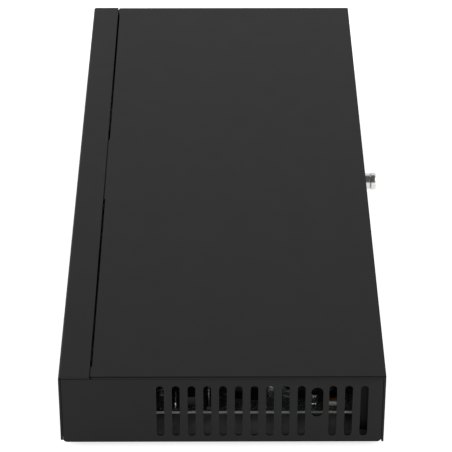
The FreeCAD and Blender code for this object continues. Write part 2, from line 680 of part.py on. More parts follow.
def coin_cell():
    x, y = BOARD_RIGHT - 78, BOARD_FRONT + 24
    cell = upright(10.0, x, y, BOARD_TOP + 0.6, 3.2)
    tabs = [block(x - 2, x + 2, y - 13, y - 5, BOARD_TOP, BOARD_TOP + 0.6),
            block(x - 2, x + 2, y + 5, y + 13, BOARD_TOP, BOARD_TOP + 0.6)]
    return fused([cell] + tabs)


def buzzer():
    x, y = BOARD_RIGHT - 66, BOARD_FRONT + 62
    return upright(6.0, x, y, BOARD_TOP, 8.5).cut(upright(1.0, x, y, BOARD_TOP + 6, 4))


def chip_components():
    """Small resistors and capacitors in rows along the board's right-hand edge and round the processor."""
    pieces = []
    for i in range(22):
        if i in (2, 6):         # the pin headers stand here
            continue
        y = BOARD_FRONT + 14 + i * 4.6
        dx = 2.6 + 1.1 * (i % 3)
        pieces.append(slab(BOARD_RIGHT - dx, y, 1.7, 0.9, BOARD_TOP, 0.7))
    for i in range(14):
        angle = 2 * math.pi * i / 14
        pieces.append(slab(PROCESSOR_X + 27 * math.cos(angle), PROCESSOR_Y + 27 * math.sin(angle),
                           1.6, 0.9, BOARD_TOP, 0.7))
    return group(pieces)


HEADER_PITCH = 2.54
HEADER_EDGE = 2.0           # first pin inside the board's right-hand edge
HEADERS = ((42.5, 2, 5, 2.5, 8.5), (22.5, 1, 5, 1.5, 4.6))


def pin_header():
    """Two rows of square pins in moulded strips, end on to the board's right-hand edge. Each header is
    its distance from the board's front edge, columns, rows, height of the strip and of the pins."""
    strips = []
    for away, columns, rows, strip_height, pin_height in HEADERS:
        y = BOARD_FRONT + away
        x = BOARD_RIGHT - HEADER_EDGE - (rows - 1) * HEADER_PITCH / 2
        pieces = [slab(x, y, rows * HEADER_PITCH, columns * HEADER_PITCH, BOARD_TOP, strip_height)]
        for i in range(rows):
            for j in range(columns):
                px = BOARD_RIGHT - HEADER_EDGE - i * HEADER_PITCH
                py = y + (j - (columns - 1) / 2) * HEADER_PITCH
                pieces.append(slab(px, py, 0.64, 0.64, BOARD_TOP + strip_height - 0.5,
                                   pin_height - strip_height + 0.5))
        strips.append(fused(pieces))
    return group(strips)


# ---------------------------------------------------------------- rear connectors
MOUSE_SOCKET_STACK = 15.6
MONITOR_SOCKET_WIDTH = 15.0
MONITOR_SOCKET_HEIGHT = 6.2
DC_RADIUS = 4.5
DC_AXIS = 6.5
AUDIO_RADIUS = 3.0
AUDIO_AXIS = 5.0


def port_centres(x, ports):
    return [x + (i - (ports - 1) / 2) * PORT_PITCH for i in range(ports)]


PORT_LOW = 2.6              # latch recess above the board


def port_cavity(x, y0, y1):
    latch_low = BOARD_TOP + PORT_LOW
    low = latch_low + LATCH_HEIGHT
    return fused([
        block(x - PORT_WIDTH / 2, x + PORT_WIDTH / 2, y0, y1, low, low + PORT_HEIGHT),
        block(x - LATCH_WIDTH / 2, x + LATCH_WIDTH / 2, y0, y1, latch_low, low + 0.1),
    ])


def port_insert(x, ports):
    half = port_block_width(ports) / 2 - PORT_SHIELD
    face = PORT_FACE - PORT_SHIELD
    body = block(x - half, x + half, PORT_FACE - PORT_BODY_DEPTH + PORT_SHIELD, face,
                 BOARD_TOP, BOARD_TOP + PORT_BODY_HEIGHT - PORT_SHIELD)
    cuts = [port_cavity(c, PORT_FACE - PORT_CAVITY, PORT_FACE + 1) for c in port_centres(x, ports)]
    cuts += [led for c in port_centres(x, ports) for led in (port_led(c, -1), port_led(c, 1))]
    return body.cut(Part.makeCompound(cuts))


def port_led(x, side):
    z = BOARD_TOP + PORT_BODY_HEIGHT - 1.9
    return block(x + side * 4.2 - 1.3, x + side * 4.2 + 1.3, PORT_FACE - 3.0, PORT_FACE - 0.1, z, z + 1.2)


def port_shield(x, ports):
    half = port_block_width(ports) / 2
    back, top = PORT_FACE - PORT_BODY_DEPTH, BOARD_TOP + PORT_BODY_HEIGHT
    outer = block(x - half, x + half, back, PORT_FACE, BOARD_TOP, top)
    inner = block(x - half + PORT_SHIELD, x + half - PORT_SHIELD, back + PORT_SHIELD,
                  PORT_FACE - PORT_SHIELD, BOARD_TOP - 1, top - PORT_SHIELD)
    cuts = [port_cavity(c, PORT_FACE - 2, PORT_FACE + 1) for c in port_centres(x, ports)]
    cuts += [led for c in port_centres(x, ports) for led in (port_led(c, -1), port_led(c, 1))]
    return outer.cut(inner).cut(Part.makeCompound(cuts))


def all_ports():
    return [c for x in CAMERA_BLOCKS for c in port_centres(x, 4)] + [LAN_X]


def port_shields():
    return group([port_shield(x, 4) for x in CAMERA_BLOCKS] + [port_shield(LAN_X, 1)])


def port_contacts():
    """Eight sloping spring wires under the roof of each port."""
    roof = BOARD_TOP + PORT_LOW + LATCH_HEIGHT + PORT_HEIGHT
    wires = []
    for x in all_ports():
        for i in range(CONTACT_COUNT):
            c = x + (i - (CONTACT_COUNT - 1) / 2) * CONTACT_PITCH
            y0, y1 = PORT_FACE - PORT_CAVITY, PORT_FACE - 5.0
            shape = [(y0, roof - 1.9), (y1, roof - 0.35), (y1, roof), (y0, roof - 1.5)]
            wires.append(outline_x(shape, c - 0.2, c + 0.2))
    return group(wires)


def port_leds(side):
    return group(port_led(c, side) for c in all_ports())


def socket_cavity(x, z, y_mouth, way):
    """The mouth of one mouse or data socket; way is +1 when it opens rearwards, -1 when it opens forwards."""
    ends = sorted((y_mouth - way * (DATA_DEPTH - 1.0), y_mouth + way * 1.0))
    return block(x - DATA_WIDTH / 2 + DATA_SHELL, x + DATA_WIDTH / 2 - DATA_SHELL, ends[0], ends[1],
                 z - DATA_HEIGHT / 2 + DATA_SHELL, z + DATA_HEIGHT / 2 - DATA_SHELL)


def mouse_socket_levels():
    return [BOARD_TOP + 1.0 + DATA_HEIGHT / 2, BOARD_TOP + MOUSE_SOCKET_STACK - 1.0 - DATA_HEIGHT / 2]


def mouse_socket_shell():
    body = block(MOUSE_SOCKET_X - DATA_WIDTH / 2, MOUSE_SOCKET_X + DATA_WIDTH / 2, PORT_FACE - 17.5, PORT_FACE,
                 BOARD_TOP, BOARD_TOP + MOUSE_SOCKET_STACK)
    return body.cut(Part.makeCompound([socket_cavity(MOUSE_SOCKET_X, z, PORT_FACE, 1) for z in mouse_socket_levels()]))


def socket_tongue(x, z, y_mouth, way):
    ends = sorted((y_mouth - way * (DATA_DEPTH - 1.0), y_mouth - way * 2.2))
    return block(x - 5.6, x + 5.6, ends[0], ends[1], z + 0.1, z + 1.9)


def mouse_socket_tongues():
    return group(socket_tongue(MOUSE_SOCKET_X, z, PORT_FACE, 1) for z in mouse_socket_levels())


def monitor_socket_outline(inset):
    half, low, high = MONITOR_SOCKET_WIDTH / 2 - inset, BOARD_TOP + inset, BOARD_TOP + MONITOR_SOCKET_HEIGHT - inset
    return [(-half + 1.6, low), (half - 1.6, low), (half, low + 1.9),
            (half, high), (-half, high), (-half, low + 1.9)]


def monitor_socket_shell():
    y0 = PORT_FACE - 11.5
    shell = outline_y([(MONITOR_SOCKET_X + x, z) for x, z in monitor_socket_outline(0)], y0, PORT_FACE)
    return shell.cut(outline_y([(MONITOR_SOCKET_X + x, z) for x, z in monitor_socket_outline(0.4)], y0 + 1.5, PORT_FACE + 1))


def monitor_socket_tongue():
    z = BOARD_TOP + MONITOR_SOCKET_HEIGHT / 2 + 0.2
    return block(MONITOR_SOCKET_X - 5.6, MONITOR_SOCKET_X + 5.6, PORT_FACE - 10.0, PORT_FACE - 1.0, z, z + 1.2)


def dc_jack():
    z = BOARD_TOP + DC_AXIS
    body = slab(DC_X, REAR_INNER - 7.1, 2 * DC_RADIUS, 13.8, BOARD_TOP, DC_AXIS + DC_RADIUS)
    barrel = rearward(DC_RADIUS, DC_X, z, REAR_INNER - 5, PORT_FACE - REAR_INNER + 5)
    return fused([body, barrel]).cut(rearward(3.2, DC_X, z, PORT_FACE - 10.5, 12))


def dc_jack_pin():
    pin = rearward(1.05, DC_X, BOARD_TOP + DC_AXIS, PORT_FACE - 10.5, 9.3)
    tip = edges_where(pin, lambda e: e.BoundBox.YMin > PORT_FACE - 1.3 and e.Length > 6)
    return pin.makeFillet(0.5, tip)


def audio_jacks():
    jacks = []
    for x in AUDIO_X:
        z = BOARD_TOP + AUDIO_AXIS
        body = block(x - 4, x + 4, REAR_INNER - 13, REAR_INNER - 0.2, BOARD_TOP, z + 4)
        barrel = rearward(AUDIO_RADIUS, x, z, REAR_INNER - 3, PORT_FACE - REAR_INNER + 3)
        jacks.append(fused([body, barrel]).cut(rearward(1.8, x, z, PORT_FACE - 12, 14)))
    return group(jacks)


# ---------------------------------------------------------------- front controls
PIPE_RADIUS = 1.5
DATA_BOARD_Z = CONTROL_Z - DATA_HEIGHT / 2


def front_board():
    x0 = FRONT_BOARD_RIGHT - FRONT_BOARD_LENGTH
    board = block(x0, FRONT_BOARD_RIGHT, FRONT_BOARD_FRONT, FRONT_BOARD_FRONT + FRONT_BOARD_DEPTH,
                  BOARD_UNDER, BOARD_TOP)
    return board.cut(Part.makeCompound([upright(BOARD_HOLE, x, y, BOARD_UNDER - 1, 4)
                                        for x, y in front_hole_places()]))


def front_socket_shells():
    shells = []
    for x in FRONT_SOCKET_X:
        mouth = FRONT - 0.1
        shell = block(x - DATA_WIDTH / 2, x + DATA_WIDTH / 2, mouth, mouth + DATA_DEPTH,
                      DATA_BOARD_Z, DATA_BOARD_Z + DATA_HEIGHT)
        leg = block(x - DATA_WIDTH / 2, x + DATA_WIDTH / 2, mouth + 5, mouth + DATA_DEPTH,
                    BOARD_TOP, DATA_BOARD_Z)
        shells.append(fused([shell, leg]).cut(socket_cavity(x, CONTROL_Z, mouth, -1)))
    return group(shells)


def front_socket_tongues():
    return group(socket_tongue(x, CONTROL_Z, FRONT - 0.1, -1) for x in FRONT_SOCKET_X)


def light_pipes():
    """Three clear rods that carry the light of the status lamps to the front face."""
    pipes = []
    for x in PIPE_X:
        rod = rearward(PIPE_RADIUS, x, CONTROL_Z, FRONT - 0.3, 9.0)
        leg = block(x - 1.2, x + 1.2, FRONT + 6.2, FRONT + 8.7, BOARD_TOP, CONTROL_Z)
        pipes.append(fused([rod, leg]))
    return group(pipes)


def infrared_window():
    pane = block(WINDOW_X - 7.0, WINDOW_X + 7.0, FRONT - 0.2, FRONT + 1.6, CONTROL_Z - 3.0, CONTROL_Z + 3.0)
    rim = block(WINDOW_X - 8.5, WINDOW_X + 8.5, FRONT + FRONT_SHEET, FRONT + 2.2,
                CONTROL_Z - 4.2, CONTROL_Z + 4.2)
    receiver = block(WINDOW_X - 3, WINDOW_X + 3, FRONT + 2.2, FRONT + 7.0, BOARD_TOP, CONTROL_Z + 3.0)
    return fused([pane, rim, receiver])


STEM_END = FRONT + 5.0
MARK_RADIUS = 2.2           # the plain ring and bar sunk in the button's face
MARK_WIDTH = 0.45
MARK_DEPTH = 0.25


def power_button():
    cap = rearward(BUTTON_RADIUS, BUTTON_X, CONTROL_Z, FRONT - BUTTON_PROUD, 3.4)
    edge = edges_where(cap, lambda e: e.BoundBox.YMax < FRONT - BUTTON_PROUD + 0.1 and e.Length > 20)
    cap = cap.makeFillet(0.5, edge)
    flange = rearward(BUTTON_RADIUS + 1.2, BUTTON_X, CONTROL_Z, FRONT + FRONT_SHEET + 0.3, 1.0)
    stem = rearward(1.8, BUTTON_X, CONTROL_Z, FRONT + 2.0, STEM_END - FRONT - 2.0)
    face = FRONT - BUTTON_PROUD
    ring = rearward(MARK_RADIUS, BUTTON_X, CONTROL_Z, face - 1, 1 + MARK_DEPTH).cut(
        rearward(MARK_RADIUS - MARK_WIDTH, BUTTON_X, CONTROL_Z, face - 2, 3 + MARK_DEPTH))
    gap = block(BUTTON_X - 1.5 * MARK_WIDTH, BUTTON_X + 1.5 * MARK_WIDTH, face - 2, face + 2,
                CONTROL_Z, CONTROL_Z + MARK_RADIUS + 1)
    bar = block(BUTTON_X - MARK_WIDTH / 2, BUTTON_X + MARK_WIDTH / 2, face - 1, face + MARK_DEPTH,
                CONTROL_Z + 0.3, CONTROL_Z + MARK_RADIUS + 0.3)
    return fused([cap, flange, stem]).cut(Part.makeCompound([ring.cut(gap), bar]))


def switch_plunger():
    return rearward(1.3, BUTTON_X, CONTROL_Z, STEM_END, 1.6)


def button_switch():
    y0 = STEM_END + 0.9
    body = block(BUTTON_X - 3, BUTTON_X + 3, y0, y0 + 3.6, BOARD_TOP, CONTROL_Z + 3.0)
    return body.cut(rearward(1.45, BUTTON_X, CONTROL_Z, y0 - 1, 3.4))


# ---------------------------------------------------------------- hard disk
PLATTER_LOW = DISK_UNDER + 11.0
DISK_FLOOR = DISK_UNDER + 7.0
DISK_RIM = DISK_TOP - DISK_LID
DISK_RECESS = 3.4           # hollow under the casting that holds the disk's own board
PIVOT = SPINDLE + Vector(PIVOT_DISTANCE * math.cos(math.radians(PIVOT_ANGLE)),
                         PIVOT_DISTANCE * math.sin(math.radians(PIVOT_ANGLE)), 0)
COIL_REACH = PIVOT.y - DISK_FRONT - BAY_WALL - COIL_GAP


def hdd_casting():
    body = block(DISK_LEFT, DISK_RIGHT, DISK_FRONT, DISK_REAR, DISK_UNDER, DISK_RIM)
    corners = edges_where(body, lambda e: runs_along(e, Vector(0, 0, 1)))
    body = body.makeFillet(3.0, corners)
    pocket = upright(PLATTER_RADIUS + PLATTER_GAP, SPINDLE.x, SPINDLE.y, DISK_FLOOR, DISK_HEIGHT)
    bay = block(SPINDLE.x + 20, DISK_RIGHT - 6, DISK_FRONT + BAY_WALL, DISK_REAR - BAY_WALL,
                DISK_FLOOR, DISK_TOP)
    under = block(DISK_LEFT + 42, DISK_RIGHT + 1, DISK_FRONT + 8, DISK_REAR - 8,
                  DISK_UNDER - 1, DISK_UNDER + DISK_RECESS)
    holes = [upright(SCREW_CLEAR, x, y, DISK_UNDER - 1, 6) for x, y in disk_screw_places()]
    spindle = upright(4.0, SPINDLE.x, SPINDLE.y, DISK_FLOOR - 1, PLATTER_LOW - DISK_FLOOR + 3)
    post = upright(2.4, PIVOT.x, PIVOT.y, DISK_FLOOR - 1, DISK_RIM - DISK_FLOOR + 1)
    return fused([body.cut(Part.makeCompound([pocket, bay, under] + holes)), spindle, post])


def hdd_lid():
    lid = block(DISK_LEFT, DISK_RIGHT, DISK_FRONT, DISK_REAR, DISK_RIM, DISK_TOP)
    lid = lid.makeFillet(3.0, edges_where(lid, lambda e: runs_along(e, Vector(0, 0, 1))))
    groove = upright(PLATTER_RADIUS - 2, SPINDLE.x, SPINDLE.y, DISK_TOP - 0.4, 1).cut(
        upright(PLATTER_RADIUS - 5, SPINDLE.x, SPINDLE.y, DISK_TOP - 1, 3))
    return lid.cut(groove)


def hdd_board():
    right = DISK_RIGHT - 0.5
    low, high = DISK_UNDER + 0.6, DISK_UNDER + 1.8
    board = block(DISK_LEFT + 46, right, DISK_FRONT + 10, DISK_REAR - 10, low, high)
    socket = block(right - 8.5, right, DISK_FRONT + 14, DISK_FRONT + 58, high, DISK_UNDER + DISK_RECESS)
    return fused([board, socket])


def platter_levels():
    return [PLATTER_LOW + i * PLATTER_SPACING for i in range(PLATTER_COUNT)]


def hdd_platters():
    top = platter_levels()[-1] + PLATTER_THICKNESS
    discs = [upright(PLATTER_RADIUS, SPINDLE.x, SPINDLE.y, z, PLATTER_THICKNESS) for z in platter_levels()]
    hub = upright(HUB_RADIUS, SPINDLE.x, SPINDLE.y, DISK_FLOOR + 0.6, top + 1.0 - DISK_FLOOR - 0.6)
    well = upright(4.05, SPINDLE.x, SPINDLE.y, DISK_FLOOR, PLATTER_LOW - DISK_FLOOR + 2.5)
    return fused(discs + [hub]).cut(well)


def hdd_arm():
    """Pivot barrel, three arms between and outside the platters, and the coil behind the pivot."""
    gap = (PLATTER_SPACING - PLATTER_THICKNESS - ARM_THICKNESS) / 2
    levels = [z - gap - ARM_THICKNESS for z in platter_levels()]
    levels.append(platter_levels()[-1] + PLATTER_THICKNESS + gap)
    a = math.radians(ARM_REST_ANGLE)
    along, across = Vector(math.cos(a), math.sin(a), 0), Vector(-math.sin(a), math.cos(a), 0)
    pieces = [upright(PIVOT_RADIUS, PIVOT.x, PIVOT.y, levels[0], levels[-1] + ARM_THICKNESS - levels[0])]
    for z in levels:
        base = Vector(PIVOT.x, PIVOT.y, z)
        corners = [base + across * 6, base + along * ARM_LENGTH + across * 1.5,
                   base + along * ARM_LENGTH - across * 1.5, base - across * 6]
        arm = Part.Face(Part.makePolygon(corners + corners[:1]))
        pieces.append(arm.extrude(Vector(0, 0, ARM_THICKNESS)))
    middle = Vector(PIVOT.x, PIVOT.y, levels[1])
    tail = middle - along * COIL_REACH
    coil = [middle + across * 4, tail + across * 9, tail - across * 9, middle - across * 4]
    pieces.append(Part.Face(Part.makePolygon(coil + coil[:1])).extrude(Vector(0, 0, 2.0)))
    return fused(pieces).cut(upright(2.45, PIVOT.x, PIVOT.y, DISK_FLOOR, DISK_HEIGHT))


# ---------------------------------------------------------------- fan
def fan_hole_places():
    half = FAN_HOLE_PITCH / 2
    return [(FAN_Y + sy * half, FAN_Z + sz * half) for sy in (-1, 1) for sz in (-1, 1)]


def fan_frame():
    half = FAN_SIZE / 2
    body = block(FAN_X, FAN_X + FAN_DEPTH, FAN_Y - half, FAN_Y + half, FAN_Z - half, FAN_Z + half)
    body = body.makeFillet(3.0, edges_where(body, lambda e: runs_along(e, Vector(1, 0, 0))))
    body = body.cut(sideways(FAN_BORE, FAN_Y, FAN_Z, FAN_X - 1, FAN_DEPTH + 2))
    body = body.cut(Part.makeCompound([sideways(FAN_SCREW_HOLE, y, z, FAN_X - 1, FAN_DEPTH + 2)
                                       for y, z in fan_hole_places()]))
    plate_x = FAN_X + FAN_DEPTH - 1.5
    disc = sideways(FAN_HUB_RADIUS, FAN_Y, FAN_Z, plate_x, 1.5)
    struts = []
    for i in range(3):
        bar = block(plate_x, plate_x + 1.5, FAN_Y - 1.2, FAN_Y + 1.2,
                    FAN_Z + FAN_HUB_RADIUS - 1, FAN_Z + FAN_BORE + 0.5)
        bar.rotate(Vector(0, FAN_Y, FAN_Z), Vector(1, 0, 0), 120 * i)
        struts.append(bar)
    pin = sideways(1.5, FAN_Y, FAN_Z, FAN_X + 1.6, FAN_DEPTH - 2)
    return fused([body, disc, pin] + struts)


def fan_rotor():
    hub_x0, hub_x1 = FAN_X + 0.6, FAN_X + FAN_DEPTH - 2.2
    hub = sideways(FAN_HUB_RADIUS, FAN_Y, FAN_Z, hub_x0, hub_x1 - hub_x0)
    pieces = [hub]
    tip = FAN_BORE - FAN_TIP_GAP
    for i in range(FAN_BLADES):
        blade = block(-0.5, 0.5, -3.6, 3.6, FAN_HUB_RADIUS - 1.5, tip - 0.4)
        blade.rotate(Vector(0, 0, 0), Vector(0, 0, 1), 52)
        blade.translate(Vector((hub_x0 + hub_x1) / 2, FAN_Y, FAN_Z))
        blade.rotate(Vector(0, FAN_Y, FAN_Z), Vector(1, 0, 0), 360.0 * i / FAN_BLADES)
        pieces.append(blade)
    rotor = fused(pieces).common(sideways(tip, FAN_Y, FAN_Z, hub_x0, hub_x1 - hub_x0))
    return rotor.cut(sideways(1.56, FAN_Y, FAN_Z, FAN_X + 1.5, FAN_DEPTH))


def fan_bracket():
    x0 = FAN_X + FAN_DEPTH
    half = FAN_SIZE / 2
    wall = block(x0, x0 + BRACKET_SHEET, FAN_Y - half, FAN_Y + half, FLOOR, FAN_Z + half)
    shelf = block(x0, x0 + 11, FAN_Y - half, FAN_Y + half, FLOOR, FLOOR + BRACKET_SHEET)
    cuts = [sideways(FAN_BORE - 0.5, FAN_Y, FAN_Z, x0 - 1, BRACKET_SHEET + 1.5)]
    notch_y = FAN_Y - FAN_WIRE_OFFSET
    cuts.append(block(x0 - 1, x0 + BRACKET_SHEET + 0.1, notch_y - 2.4, notch_y + 2.4,
                      FLOOR + BRACKET_SHEET, FAN_Z - FAN_BORE + 4))
    cuts += [sideways(FAN_SCREW_HOLE, y, z, x0 - 1, 4) for y, z in fan_hole_places()]
    wall = wall.cut(Part.makeCompound(cuts))
    return fused([wall, shelf])


# ---------------------------------------------------------------- cables
DISK_LEAD_X = BOARD_LEFT + 26.0
DISK_LEAD_Y = DISK_FRONT + 24.0
POWER_Y = DISK_FRONT + 46.0
PLUG_Z = DISK_UNDER + 6.8
PLUG_LENGTH = 10.5
SOCKET_HEIGHT = 7.0


def disk_loop(y):
    """From a plug on the disk, up between disk and board, and down on to a socket on the board."""
    x0 = DISK_RIGHT + PLUG_LENGTH - 1.5
    return [(x0, y, PLUG_Z), (x0 + 8, y, PLUG_Z + 1), (x0 + 15, y, PLUG_Z + 22),
            (x0 + 25, y, PLUG_Z + 27.0), (DISK_LEAD_X + 1, y, PLUG_Z + 24.0), (DISK_LEAD_X + 2, y, BOARD_TOP + 12.0)]


def disk_plug(y, width):
    return slab(DISK_RIGHT + PLUG_LENGTH / 2, y, PLUG_LENGTH, width, PLUG_Z - 3.2, 6.4)


def disk_data_socket():
    body = slab(DISK_LEAD_X + 2, DISK_LEAD_Y, 6.0, 14.0, BOARD_TOP, SOCKET_HEIGHT)
    return body.cut(slab(DISK_LEAD_X + 2, DISK_LEAD_Y, 3.6, 11.4, BOARD_TOP + 1.5, 8.0))


def disk_power_socket():
    body = slab(DISK_LEAD_X + 2, POWER_Y, 7.0, 12.0, BOARD_TOP, SOCKET_HEIGHT)
    return body.cut(slab(DISK_LEAD_X + 2, POWER_Y, 4.6, 10.0, BOARD_TOP + 1.5, 8.0))


def disk_data_cable():
    strip = ribbon("disk_data_cable", disk_loop(DISK_LEAD_Y), 8.0, 1.5, Vector(0, 1, 0))
    blade = slab(DISK_LEAD_X + 2, DISK_LEAD_Y, 3.2, 11.0, BOARD_TOP + 1.8, SOCKET_HEIGHT - 1.0)
    board_plug = slab(DISK_LEAD_X + 2, DISK_LEAD_Y, 5.6, 13.0, BOARD_TOP + SOCKET_HEIGHT, 7.0)
    return fused([strip, disk_plug(DISK_LEAD_Y, 12.0), blade, board_plug])


def disk_power_cable():
    wires = []
    for i in range(4):
        y = POWER_Y + (i - 1.5) * 2.3
        wires.append(wire_tube("disk_power_cable", disk_loop(y), 0.9))
    blade = slab(DISK_LEAD_X + 2, POWER_Y, 4.2, 9.6, BOARD_TOP + 1.8, SOCKET_HEIGHT - 1.0)
    board_plug = slab(DISK_LEAD_X + 2, POWER_Y, 6.4, 11.0, BOARD_TOP + SOCKET_HEIGHT, 7.0)
    return fused(wires + [disk_plug(POWER_Y, 14.0), blade, board_plug])


FRONT_CABLE_X = FRONT_BOARD_RIGHT - 24.0


def front_cable():
    """A flat ribbon with a socket at each end, looped from the control board to the main board."""
    y0 = FRONT_BOARD_FRONT + FRONT_BOARD_DEPTH - 7
    y1 = BOARD_FRONT + 9
    z = BOARD_TOP + 8.5
    span = y1 - y0
    side_view = [(y0, z), (y0 + 1, z + 8), (y0 + span * 0.32, z + 14),
                 (y0 + span * 0.68, z + 13), (y1 - 0.5, z + 7), (y1, z)]
    points = [(FRONT_CABLE_X, y, up) for y, up in side_view]
    strip = ribbon("front_cable", points, 12.7, 0.9, Vector(1, 0, 0))
    ends = [slab(FRONT_CABLE_X, y, 15.0, 5.4, BOARD_TOP, 8.9) for y in (y0, y1)]
    return fused([strip] + ends)


def fan_cable():
    """Two thin wires from the fan, along the floor behind the disk, to a plug on the main board."""
    radius = 0.5
    x0 = FAN_X + FAN_DEPTH
    x1 = BOARD_LEFT + 1.5
    y = FAN_Y - FAN_WIRE_OFFSET
    plug_y = y - 8
    wires = []
    for side in (-0.8, 0.8):
        floor_run = [(x0, y, 2.2), (x0 + 16, y, 2.0), (x0 + 34, y - 6, 1.2), (x0 + 62, y - 8, 0.8),
                     (x0 + 92, y - 7, 1.0), (x0 + 124, plug_y, 0.8)]
        rise = [(x1 - 16, plug_y, 1.4), (x1 - 7, plug_y, 5.0), (x1 - 6, plug_y, 15.0),
                (x1 + 0.4, plug_y, 15.4)]
        points = [(px, py + side, FLOOR + pz) for px, py, pz in floor_run + rise]
        wires.append(wire_tube("fan_cable", points, radius))
    plug = slab(x1 + 2.5, plug_y, 5.0, 5.6, BOARD_TOP, 5.5)
    return fused(wires + [plug])


PARTS = {
    "base_tray": base_tray,
    "rear_panel": rear_panel,
    "front_panel": front_panel,
    "top_cover": top_cover,
    "cover_rear_bracket": cover_rear_bracket,
    "cover_screw_collar": cover_screw_collar,
    "cover_screw": cover_screw,
    "rubber_feet": rubber_feet,
    "countersunk_screws": countersunk_screws,
    "pan_head_screws": pan_head_screws,
    "main_board": main_board,
    "board_standoffs": board_standoffs,
    "processor": processor,
    "heatsink": heatsink,
    "memory_chips": memory_chips,
    "logic_chips": logic_chips,
    "network_transformers": network_transformers,
    "capacitors": capacitors,
    "tantalum_capacitors": tantalum_capacitors,
    "inductors": inductors,
    "coin_cell": coin_cell,
    "buzzer": buzzer,
    "chip_components": chip_components,
    "pin_header": pin_header,
    "camera_ports_a": lambda: port_insert(CAMERA_BLOCKS[0], 4),
    "camera_ports_b": lambda: port_insert(CAMERA_BLOCKS[1], 4),
    "lan_port": lambda: port_insert(LAN_X, 1),
    "port_shields": port_shields,
    "port_contacts": port_contacts,
    "link_leds": lambda: port_leds(-1),
    "activity_leds": lambda: port_leds(1),
    "mouse_socket_shell": mouse_socket_shell,
    "mouse_socket_tongues": mouse_socket_tongues,
    "monitor_socket_shell": monitor_socket_shell,
    "monitor_socket_tongue": monitor_socket_tongue,
    "dc_jack": dc_jack,
    "dc_jack_pin": dc_jack_pin,
    "audio_jacks": audio_jacks,
    "front_board": front_board,
    "front_socket_shells": front_socket_shells,
    "front_socket_tongues": front_socket_tongues,
    "light_pipes": light_pipes,
    "infrared_window": infrared_window,
    "power_button": power_button,
    "switch_plunger": switch_plunger,
    "button_switch": button_switch,
    "hdd_casting": hdd_casting,
    "hdd_lid": hdd_lid,
    "hdd_board": hdd_board,
    "hdd_platters": hdd_platters,
    "hdd_arm": hdd_arm,
    "fan_frame": fan_frame,
    "fan_rotor": fan_rotor,
    "fan_bracket": fan_bracket,
    "disk_data_socket": disk_data_socket,
    "disk_power_socket": disk_power_socket,
    "disk_data_cable": disk_data_cable,
    "disk_power_cable": disk_power_cable,
    "front_cable": front_cable,
    "fan_cable": fan_cable,
}


def main():
    os.makedirs("parts", exist_ok=True)
    for name, make in PARTS.items():
        shape = make()
        good = shape.isValid() and all(s.Volume > 0 for s in shape.Solids)
        print(f"{name}: {len(shape.Solids)} solids, {shape.Volume:.0f} mm3, valid {good}")
        shape.exportStep(os.path.join("parts", name + ".step"))


main()
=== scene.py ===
# %% [markdown]
# # A steel-cased video recorder, dressed around its CAD frame
# The recorder is a low black box, folded from sheet steel and powder coated. The CAD model already
# has every piece at its true size and place. This lesson gives each piece its finish, eases the sharp
# edges that CAD leaves, and models the few details that only matter to the eye.

# %% Open the frame
import json
import math
import random
import bmesh
import bpy
from mathutils import Matrix, Vector


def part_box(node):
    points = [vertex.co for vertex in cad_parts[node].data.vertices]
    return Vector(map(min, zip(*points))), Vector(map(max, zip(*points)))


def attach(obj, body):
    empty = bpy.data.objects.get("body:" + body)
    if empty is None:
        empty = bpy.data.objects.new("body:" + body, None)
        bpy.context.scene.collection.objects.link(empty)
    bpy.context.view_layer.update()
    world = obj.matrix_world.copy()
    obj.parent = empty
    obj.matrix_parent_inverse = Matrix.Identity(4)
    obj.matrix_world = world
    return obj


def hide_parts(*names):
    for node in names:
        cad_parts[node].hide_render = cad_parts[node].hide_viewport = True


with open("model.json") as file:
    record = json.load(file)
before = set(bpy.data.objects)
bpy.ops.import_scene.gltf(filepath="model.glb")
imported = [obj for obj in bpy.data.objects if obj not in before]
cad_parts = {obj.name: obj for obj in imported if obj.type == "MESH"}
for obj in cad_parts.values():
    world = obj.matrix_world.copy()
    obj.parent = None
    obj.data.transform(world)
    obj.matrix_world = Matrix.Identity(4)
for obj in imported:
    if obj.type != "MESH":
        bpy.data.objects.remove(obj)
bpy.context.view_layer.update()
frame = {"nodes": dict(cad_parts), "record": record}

MM = 0.001
print("pieces in the frame:", len(frame["nodes"]))

# %% [markdown]
# ## Places
# Everything is placed from the frame's own boxes. The case's middle is not the middle of the whole
# recorder, because the cover screw stands out at the rear, so it is measured between the two panels.

# %% Key places
case_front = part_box("front_panel")[0].y
case_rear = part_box("rear_panel")[1].y
case_middle = (case_front + case_rear) / 2
case_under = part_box("rear_panel")[0].z
print("case depth in mm:", round((case_rear - case_front) / MM, 1))

# %% [markdown]
# ## Finishes
# A Principled shader with one flat colour looks like a toy. Real coatings vary a little in colour and
# gloss, and have a fine relief. Four small helpers add that: an even base, a noise pattern in the
# piece's own coordinates, a spread of colour or gloss that follows it, and a relief. Values that are
# the same all over stay on the shader's own sockets.

# %% Helpers for finishes
def finish(name, colour, roughness, metallic=0.0, specular=0.5):
    made = bpy.data.materials.new(name)
    made.use_nodes = True
    shader = made.node_tree.nodes["Principled BSDF"]
    shader.inputs["Base Color"].default_value = (*colour, 1.0)
    shader.inputs["Roughness"].default_value = roughness
    shader.inputs["Metallic"].default_value = metallic
    shader.inputs["Specular IOR Level"].default_value = specular
    return made


def shader_of(made):
    return made.node_tree.nodes["Principled BSDF"]


def placed(made, stretch=(1, 1, 1), middle=(0, 0, 0)):
    """Object coordinates, centred on `middle` and stretched along the axes."""
    nodes, links = made.node_tree.nodes, made.node_tree.links
    where = nodes.new("ShaderNodeTexCoord")
    mapping = nodes.new("ShaderNodeMapping")
    mapping.inputs["Location"].default_value = [-m * s for m, s in zip(middle, stretch)]
    mapping.inputs["Scale"].default_value = stretch
    links.new(where.outputs["Object"], mapping.inputs["Vector"])
    return mapping.outputs["Vector"]


